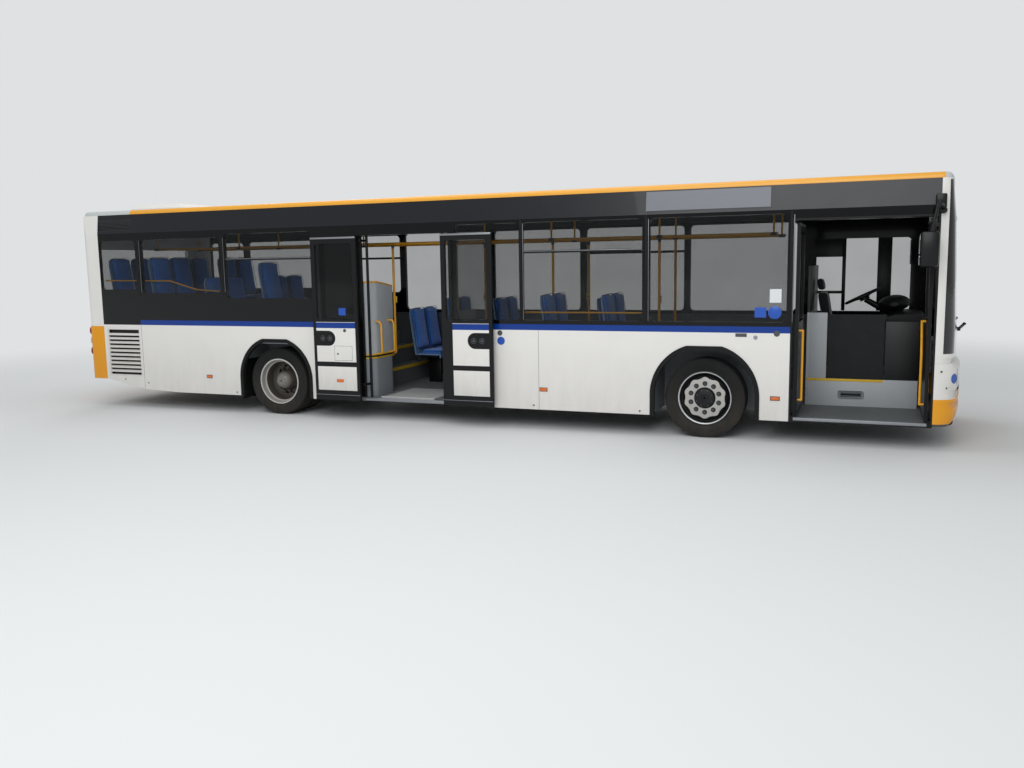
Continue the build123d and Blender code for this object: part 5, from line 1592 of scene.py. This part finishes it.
@dataclass
class Saloon(Trim):
    """Podests, step edges, screens, wall rails, ceiling lamps, stop buttons and rail joints."""

    floor: float = 0.295
    step_one: Flat = (-1.400, 0.545)
    step_two: Flat = (-1.680, 0.800)
    bench_step: Flat = (-4.200, 1.100)
    podest_left: float = 0.150
    podest_right: float = 0.250
    rail_y: float = 0.480
    rail_z: float = 2.330
    sheet: tuple[float, ...] = (-1.3597, -1.097, -1.127, -0.568, 0.170)
    sheet_thick: float = 0.022
    wall_y: float = -1.168
    wall_reach: float = 0.0315
    wall_rod: float = 0.011
    pole: float = 0.017
    sleeve: float = 0.0205

    def build(self) -> None:
        """Makes the small things of the saloon."""
        self.podests()
        self.screens()
        self.rails()
        self.ceiling()
        self.stops_and_joints()
        self.bars("cab_step_edge", "nosing_yellow", "handrail", [
            ((4.345, -0.2535, 0.592), (5.190, -0.250, 0.620), 0.001)])
        self.bars("step_lamp_frame", "lining_grey", "trim_grey", [
            ((4.700, -0.2545, 0.395), (4.985, -0.250, 0.480), 0.020)])
        self.bars("step_lamp_lens", "frame_black", "lamp", [
            ((4.722, -0.2560, 0.412), (4.963, -0.2505, 0.463), 0.014)])

    def podests(self) -> None:
        """Makes the podests under the low part's seats and the one by the middle door, with yellow edges."""
        shape = bmesh.new()
        floor, step = self.floor + 0.0003, self.step_two[1]
        left, right = self.floor + self.podest_left, self.floor + self.podest_right
        Shapes.bar(shape, (-0.790, 0.315, floor), (2.120, 1.195, left))
        Shapes.bar(shape, (1.240, -1.195, floor), (2.640, -0.315, right))
        bend = 0.110
        plan = [(-1.3997, -0.560), (-1.3997, -1.135)]
        for y, start in ((-1.135 + bend, -90), (-0.560 - bend, 0)):
            plan += arc((-1.085 - bend, y), bend, start, 90, 8)
        Shapes.skin(shape, [[(x, y, z) for x, y in plan] for z in (floor, step)])
        self.place("seat_podests", shape, "lining_grey", "floor")
        rows = []
        for (x, z), y0 in ((self.step_one, -0.555), (self.step_two, -1.190), (self.bench_step, -1.190)):
            rows.append(((x - 0.045, y0, z), (x + 0.0025, 1.190, z + 0.003), 0.001))
            rows.append(((x, y0, z - 0.035), (x + 0.0025, 1.190, z + 0.001), 0.001))
        for x0, x1, y0, y1, z in ((-0.785, 2.115, 0.313, 0.345, left), (1.245, 2.635, -0.313, -0.345, right),
                                  (-1.395, -1.250, -0.600, -0.562, step)):
            rows.append(((x0, y0, z), (x1, y1, z + 0.003), 0.001))
        self.bars("step_edges", "nosing_yellow", "handrail", rows)

    def sheet_line(self, inset: float) -> list[Flat]:
        """Draws the curved screen's line, from its rear end round its corner to the aisle.

        Args:
            inset: how far it is drawn in from the sheet's outer face.

        Returns:
            Points as x and y.
        """
        x0, x1, y0, y1, bend = self.sheet
        corner = arc((x1 - bend, y0 + bend), bend - inset, -90, 90, 10)
        return [(x0, y0 + inset), *corner, (x1 - inset, (y0 + bend + y1) / 2), (x1 - inset, y1)]

    def sheet_top(self, y: float) -> float:
        """Finds the height of the curved screen's top edge at one y."""
        y0, y1 = self.sheet[2], self.sheet[3]
        return 1.810 - 0.060 * max(0.0, (y - y0 - 0.2) / (y1 - y0 - 0.2))

    def screens(self) -> None:
        """Makes the cab's walls and platform, the front screen and the curved screen with its yellow edge."""
        low, high = map(Vector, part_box("partitions"))
        shape = bmesh.new()
        wall, platform = 0.030, 0.620
        x0, x1, y = 4.330, high.x, -0.250
        Shapes.bar(shape, (x0, y, low.z), (x0 + wall, high.y, high.z), 0.002)
        Shapes.bar(shape, (x0 + wall - 0.001, y + wall - 0.001, low.z), (x1, high.y, platform))
        for a, b, foot, top in ((x0 + wall, 4.560, platform + 0.001, 1.400),
                                (5.200, x1, platform + 0.001, 1.300), (x0 + wall, x1, low.z, platform)):
            Shapes.bar(shape, (a, y, foot), (b, y + wall, top), 0.002)
        Shapes.bar(shape, (0.1705, low.y, low.z), (0.1955, -0.620, 1.450), 0.004)
        plan = self.sheet_line(0.0) + list(reversed(self.sheet_line(self.sheet_thick)))
        Shapes.skin(shape, [[(x, y, self.step_two[1]) for x, y in plan],
                            [(x, y, self.sheet_top(y)) for x, y in plan]])
        made = self.place("screens_and_cab", shape, "partition_grey", "trim_grey")
        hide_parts("partitions")
        edge, middle = bmesh.new(), self.sheet_line(self.sheet_thick / 2)
        Shapes.tube(edge, [(x, y, self.sheet_top(y) + 0.006) for x, y in middle], 0.015, 12)
        self.place("screen_edge", edge, "handrail_yellow", "handrail")

    def rails(self) -> None:
        """Adds the wall rails behind the right windows, poles on the podests and the screen's two hoops."""
        shape = bmesh.new()
        for line, feet in ((((1.074, 1.300), (1.074, 1.437), (2.616, 1.437), (2.616, 1.300)), (0, 3)),
                           (((-5.625, 1.875), (-4.900, 1.868), (-4.412, 1.862), (-3.929, 1.733),
                             (-3.400, 1.700)), (1, 4))):
            points = [Vector((x, self.wall_y, z)) for x, z in line]
            Shapes.rods(shape, points, points, self.wall_rod, 12)
            for at in (points[foot] for foot in feet):
                Shapes.drum(shape, at, at - Vector((0, self.wall_reach, 0)), self.wall_rod, sides=12)
        for x, y, z in ((1.218, -self.rail_y, self.floor), (-1.115, -self.rail_y, 0.840),
                        (1.403, self.rail_y, self.floor + self.podest_left)):
            Shapes.drum(shape, (x, y, z), (x, y, self.rail_z), self.pole)
        Shapes.tube(shape, [(-1.115, -self.rail_y, 0.842), (-1.115, -0.490, 0.826), (-1.112, -0.510, 0.820),
                            (-1.108, -0.573, 0.820)], 0.016, 12)
        for y in (-1.040, -0.700):
            hoop = ((-1.098, 0.860), (-1.010, 0.880), (-1.015, 1.255), (-1.040, 1.295), (-1.098, 1.295))
            Shapes.tube(shape, [(x, y, z) for x, z in hoop], 0.013, 12)
        self.place("rails_on_wall", shape, "handrail_yellow", "handrail")

    def ceiling(self) -> None:
        """Hangs two rows of lamp covers with joints between them under the roof."""
        lamps, strips = bmesh.new(), bmesh.new()
        for number in range(7):
            x = -5.1 + number * 1.32
            Shapes.pair(lamps, (x, 0.62, 2.802), (x + 1.2, 0.76, 2.829), 0.008)
            Shapes.pair(strips, (x + 1.205, 0.61, 2.806), (x + 1.315, 0.77, 2.829), 0.004)
        self.place("ceiling_lamps", lamps, "diffuser_white", "lamp")
        self.place("ceiling_joints", strips, "lining_grey", "trim_grey")

    def stops_and_joints(self) -> None:
        """Puts stop buttons on the poles and sleeves where the rails meet."""
        boxes, knobs, sleeves = bmesh.new(), bmesh.new(), bmesh.new()
        for x, side in ((2.600, -1), (1.218, -1), (-1.115, -1), (-0.150, 1), (1.403, 1)):
            y = side * self.rail_y
            near, far = y - side * self.pole, y - side * (self.pole + 0.028)
            Shapes.bar(boxes, (x - 0.022, near, 1.52), (x + 0.022, far, 1.61), 0.005)
            Shapes.drum(knobs, (x, far, 1.565), (x, far - side * 0.006, 1.565), 0.014, 0.012)
            Shapes.drum(sleeves, (x, y, self.rail_z - 0.065), (x, y, self.rail_z - 0.016), self.sleeve)
        for side in SIDES:
            for x in (-5.25, -3.70, -2.15, -0.15, 1.20, 2.60, 3.95):
                at = Vector((x, side * self.rail_y, self.rail_z))
                Shapes.drum(sleeves, at - Vector((0.035, 0, 0)), at + Vector((0.035, 0, 0)), self.sleeve)
        self.place("stop_boxes", boxes, "nosing_yellow", "handrail")
        self.place("stop_knobs", knobs, "button_red", "lamp")
        self.place("rail_sleeves", sleeves, "button_grey", "black_metal")


@dataclass
class Cushion:
    size: Vector
    lean: float = 0.0
    voxel: float = 0.015
    cap: float = 0.016
    edge: float = 0.016
    inset: float = 0.008
    pressure: float = 4.0
    frames: int = 20

    def blow(self, name: str) -> bpy.types.Mesh:
        """Runs the simulation on a leaning block and caps how far the cover may swell.

        Args:
            name: a name for the mesh.

        Returns:
            The swollen mesh.
        """
        shape = bmesh.new()
        x, y, z = self.size
        Shapes.bar(shape, (self.inset, -y / 2 + self.inset, self.inset),
                   (x - self.inset, y / 2 - self.inset, z - self.inset), self.edge)
        for vert in shape.verts:
            vert.co.x += self.lean * vert.co.z / z
        cover = put_mesh(name, shape)
        remesh = cover.modifiers.new("remesh", "REMESH")
        remesh.mode = "VOXEL"
        remesh.voxel_size = self.voxel
        settle(cover)
        start = [v.co.copy() for v in cover.data.vertices]
        cloth = cover.modifiers.new("cloth", "CLOTH")
        cloth.settings.use_pressure = True
        cloth.settings.uniform_pressure_force = self.pressure
        cloth.settings.effector_weights.gravity = 0.0
        for frame in range(1, self.frames + 1):
            bpy.context.scene.frame_set(frame)
        settle(cover)
        bpy.context.scene.frame_set(1)
        for vert, old in zip(cover.data.vertices, start):
            way = vert.co - old
            if way.length > self.cap:
                vert.co = old + way.normalized() * self.cap
        swollen = cover.data
        bpy.data.objects.remove(cover)
        return swollen

    def copies(self, mesh: Mesh, name: str, places: list[Vector]) -> None:
        """Adds the swollen pad to a mesh, once at each place.

        Args:
            mesh: the mesh that gets them.
            name: a name for the pad.
            places: where they go.
        """
        model = self.blow(name)
        for at in places:
            before = len(mesh.verts)
            mesh.from_mesh(model)
            mesh.verts.ensure_lookup_table()
            bmesh.ops.translate(mesh, verts=mesh.verts[before:], vec=at)
        bpy.data.meshes.remove(model)


@dataclass
class SeatPads(Trim):
    """The passengers' seats: rounded shells on legs, blown cushions and backs with a welt round each."""

    welt: float = 0.0035
    seat_high: float = 0.440
    seat_deep: float = 0.400
    back_high: float = 0.660
    rake: float = 0.095
    shell: float = 0.020
    corner: float = 0.095
    half: float = 0.206
    pad_half: float = 0.192
    pad_thick: float = 0.048
    floor: float = 0.295
    low_floor: float = 0.3    # seats with a footing below this stand on a podest
    tallest_cushion: float = 0.2    # a pad above this is a back
    lifts: tuple[tuple[int, float, float], ...] = ((1, 0.150, 0.0), (-1, 0.250, 0.090))
    bay_x: float = -0.815
    bay_ys: tuple[float, ...] = (0.935, 0.515)

    def places(self) -> list[tuple[Vector, float]]:
        """Finds each seat: the front edge of its shell, and the floor or podest below it.

        Returns:
            For each seat its place and the height of its footing.
        """
        found = []
        for low, high in solids(self.nodes["seat_pads"]):
            if high.z - low.z > self.tallest_cushion:
                continue
            at = Vector((high.x + 0.005, (low.y + high.y) / 2, low.z - 0.0003))
            footing = at.z - self.seat_high
            if footing < self.low_floor:
                for side, lift, ahead in self.lifts:
                    if side * at.y > 0:
                        at += Vector((ahead, 0, lift))
                        footing += lift
            found.append((at, footing))
        for y in self.bay_ys:
            found.append((Vector((self.bay_x, y, self.floor + self.seat_high)), self.floor))
        return found

    def build(self) -> None:
        """Makes the shells, all cushions, all backs and their welts."""
        seats = self.places()
        self.shells(seats)
        welts = bmesh.new()
        top, foot = self.back_high + 0.014, self.pad_thick + 0.012
        lean = self.rake / self.back_high
        pads = ((False, "seat_cushions", Vector((0.344, 2 * self.pad_half, self.pad_thick)), 0.0,
                 Vector((-0.348, 0, 0.0003))),
                (True, "seat_backs", Vector((self.pad_thick, 2 * self.pad_half, top - foot)),
                 -lean * (top - foot), Vector((-self.seat_deep - lean * foot + 0.0005, 0, foot))))
        for upright, name, pad, slope, offset in pads:
            shape = bmesh.new()
            spots = [at + offset for at, _ in seats]
            Cushion(pad, slope).copies(shape, name, spots)
            for spot in spots:
                self.welt_round(welts, spot, pad, slope, upright)
            made = self.place(name, shape, "moquette", "seat_fabric")
            if upright:
                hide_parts("seat_pads")
        self.place("seat_welts", welts, "welt_blue", "seat_fabric")

    def shells(self, seats: list[tuple[Vector, float]]) -> None:
        """Makes the shells with rounded upper corners, on a beam and legs.

        Args:
            seats: the seats' places and footings.
        """
        shape, legs = bmesh.new(), bmesh.new()
        deep, thick, half = self.seat_deep, self.shell, self.half
        for at, footing in seats:
            rings = []
            for number in range(17):
                y = -half + 2 * half * number / 16
                into = max(0.0, abs(y) - (half - self.corner))
                top = self.back_high - self.corner + math.sqrt(max(0.0, self.corner ** 2 - into ** 2))
                lean = -deep - self.rake * top / self.back_high
                profile = ((0, -0.060), (0, 0), (-deep, 0), (lean, top), (lean - thick, top),
                           (-deep - thick - 0.018, 0.120), (-deep - thick, -thick), (-0.020, -thick),
                           (-0.020, -0.060))
                rings.append([(at.x + x, at.y + y, at.z + z) for x, z in profile])
            Shapes.skin(shape, rings)
            for x0, x1, wide, z0, z1 in ((-0.34, -0.06, half - 0.006, at.z - 0.050, at.z - thick + 0.001),
                                         (-0.29, -0.09, 0.025, footing + 0.0003, at.z - 0.049)):
                Shapes.bar(legs, (at.x + x0, at.y - wide, z0), (at.x + x1, at.y + wide, z1), 0.004)
        made = self.place("seat_shells", shape, "seat_shell_grey", "seat_shell")
        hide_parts("seat_frames")
        self.place("seat_legs", legs, "frame_black", "frame_steel")

    def welt_round(self, welts: Mesh, foot: Vector, pad: Vector, slope: float, upright: bool) -> None:
        """Adds the welt round one pad, a closed ring of short tubes with round corners.

        Args:
            welts: the mesh that gets it.
            foot: the pad's foot.
            pad: the pad's size.
            slope: how far its top leans.
            upright: whether it is a back.
        """
        radius, inset = 0.045, 0.006
        wide = pad.y / 2 - inset - radius
        near, far = inset + radius, (pad.z if upright else pad.x) - inset - radius
        line = []
        for start, middle in ((0, (wide, far)), (90, (-wide, far)), (180, (-wide, near)),
                              (270, (wide, near))):
            line += arc(middle, radius, start, 90, 3)
        points = []
        for y, t in line + line[:1]:
            points.append(foot + Vector((pad.x - 0.006 + slope * t / pad.z, y, t) if upright
                                        else (t, y, pad.z - 0.007)))
        Shapes.tube(welts, points, self.welt, 6)


@dataclass
class DriverSeat(Trim):
    """The driver's seat on its sprung pedestal."""

    cap: float = 0.012
    bellows: int = 7

    def build(self) -> None:
        """Makes the pedestal, the cushion, the back and the head rest."""
        low, high = map(Vector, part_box("driver_seat"))
        middle = (low.y + high.y) / 2
        rows = []
        for number in range(self.bellows):
            z, dent = low.z + 0.03 + number * 0.045, 0.01 * (number % 2)
            rows.append(((4.66 + dent, middle - 0.14 + dent, z),
                         (4.94 - dent, middle + 0.14 - dent, z + 0.042), 0.012))
        rows.append(((4.62, middle - 0.17, low.z), (4.98, middle + 0.17, low.z + 0.032), 0.006))
        self.bars("driver_pedestal", "rubber_black", "rubber", rows)
        pads = bmesh.new()
        for size, lean, x, z in (((0.46, 0.46, 0.11), 0.0, 4.56, 0.975),
                                 ((0.115, 0.46, 0.56), -0.10, 4.50, 1.075),
                                 ((0.09, 0.27, 0.15), -0.03, 4.405, 1.640)):
            Cushion(Vector(size), lean, cap=self.cap).copies(pads, "driver_pad", [Vector((x, middle, z))])
        made = self.place("driver_upholstery", pads, "moquette_dark", "seat_fabric")
        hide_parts("driver_seat")


@dataclass
class DriverDesk(Trim):
    """The dashboard with its instrument hood, the steering wheel and the frames of the driver's window, with
    painted shade over its rear pane.
    """

    wheel_at: Point = (4.935, 0.560, 1.570)
    wheel_radius: float = 0.222
    tilt: float = math.radians(26.0)
    rim_steps: int = 40
    spoke: float = 0.55
    hood_at: Point = (5.290, 0.560, 1.478)
    hood_half: Point = (0.182, 0.330, 0.098)

    def build(self) -> None:
        """Makes the desk and the wheel in place of the plain one, divides the driver's window, and lays a
        black header of painted shade over its rear pane.
        """
        shape = bmesh.new()
        body = [(5.480, 0.6203), (5.560, 0.6203), (5.640, 1.250), (5.640, 1.340), (5.610, 1.366),
                (5.480, 1.378), (5.300, 1.372), (5.215, 1.345), (5.182, 1.300), (5.205, 1.250),
                (5.300, 1.180)]
        Shapes.along(shape, body, (-0.150, 1.150))
        self.hood(shape)
        self.wheel(shape)
        made = self.place("driver_desk", shape, "dashboard_black", "trim_grey")
        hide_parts("dashboard")
        # The third bar, the header over the rear pane, is painted shade from the roof; the others are frames
        self.bars("driver_window_frame", "frame_black", "black_metal", [
            ((x0, 1.172, z0), (x1, 1.190, z1), 0.003)
            for x0, x1, z0, z1 in ((4.655, 4.700, 1.352, 2.290), (4.310, 4.656, 1.575, 1.612),
                                   (4.310, 4.656, 2.055, 2.290), (5.085, 5.255, 1.352, 2.290))])

    def hood(self, shape: Mesh) -> None:
        """Adds the rounded instrument hood, which narrows towards both its ends.

        Args:
            shape: the desk's mesh.
        """
        (cx, cy, cz), (deep, wide, tall) = self.hood_at, self.hood_half
        rings = []
        for step in range(13):
            share = -1 + step / 6
            size = max(0.25, max(0.0, 1 - abs(share) ** 3.5) ** 0.5)
            ring = []
            for angle in (math.tau * number / 24 for number in range(24)):
                x, z = deep * size * math.cos(angle), tall * size * math.sin(angle)
                ring.append((cx + x - 0.12 * z, cy + wide * share, cz + z + 0.12 * x))
            rings.append(ring)
        Shapes.skin(shape, rings)
        Shapes.bar(shape, (5.240, 0.420, 1.350), (5.400, 0.700, 1.420), 0.020)

    def wheel(self, shape: Mesh) -> None:
        """Adds the steering wheel with its four spokes, hub and column.

        Args:
            shape: the desk's mesh.
        """
        centre = Vector(self.wheel_at)
        along = Vector((math.cos(self.tilt), 0, math.sin(self.tilt)))
        across = Vector((0, 1, 0))
        axis = along.cross(across)
        for step in range(self.rim_steps):
            ends = []
            for angle in (math.tau * (step + part) / self.rim_steps for part in (0, 1.05)):
                ends.append(centre + self.wheel_radius * (along * math.cos(angle) + across * math.sin(angle)))
            Shapes.drum(shape, *ends, 0.0155, sides=12)
        for angle in (self.spoke, math.pi - self.spoke, math.pi + self.spoke, -self.spoke):
            way = along * math.sin(angle) + across * math.cos(angle)
            Shapes.drum(shape, centre - axis * 0.035, centre + way * self.wheel_radius, 0.014, 0.009, 12)
        Shapes.drum(shape, centre - axis * 0.055, centre - axis * 0.008, 0.062, 0.052, sides=32)
        Shapes.drum(shape, centre - axis * 0.050, (5.300, centre.y, 1.330), 0.034, 0.045, sides=24)


def boxes(box: tuple[Vector, Vector]) -> list[list[float]]:
    """Turns a pair of corners into plain lists."""
    return [list(corner) for corner in box]


def main() -> None:
    """Builds the bus's looks in order."""
    logging.basicConfig(level=logging.INFO, format="%(name)s: %(message)s")
    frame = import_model()
    cad_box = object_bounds()
    finishes = Finishes().build()
    nodes = frame["nodes"]
    Dressing(finishes, nodes).build()
    Studio().build()
    for group in (Tyres, Rims, WheelTrim, FrontMoulding, DoorTrim, SideTrim, EndTrim, Saloon, SeatPads,
                  DriverSeat, DriverDesk):
        group(finishes, nodes).build()
    {"cad": boxes(cad_box), "visual": boxes(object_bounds())}


if __name__ == "__main__":
    main()
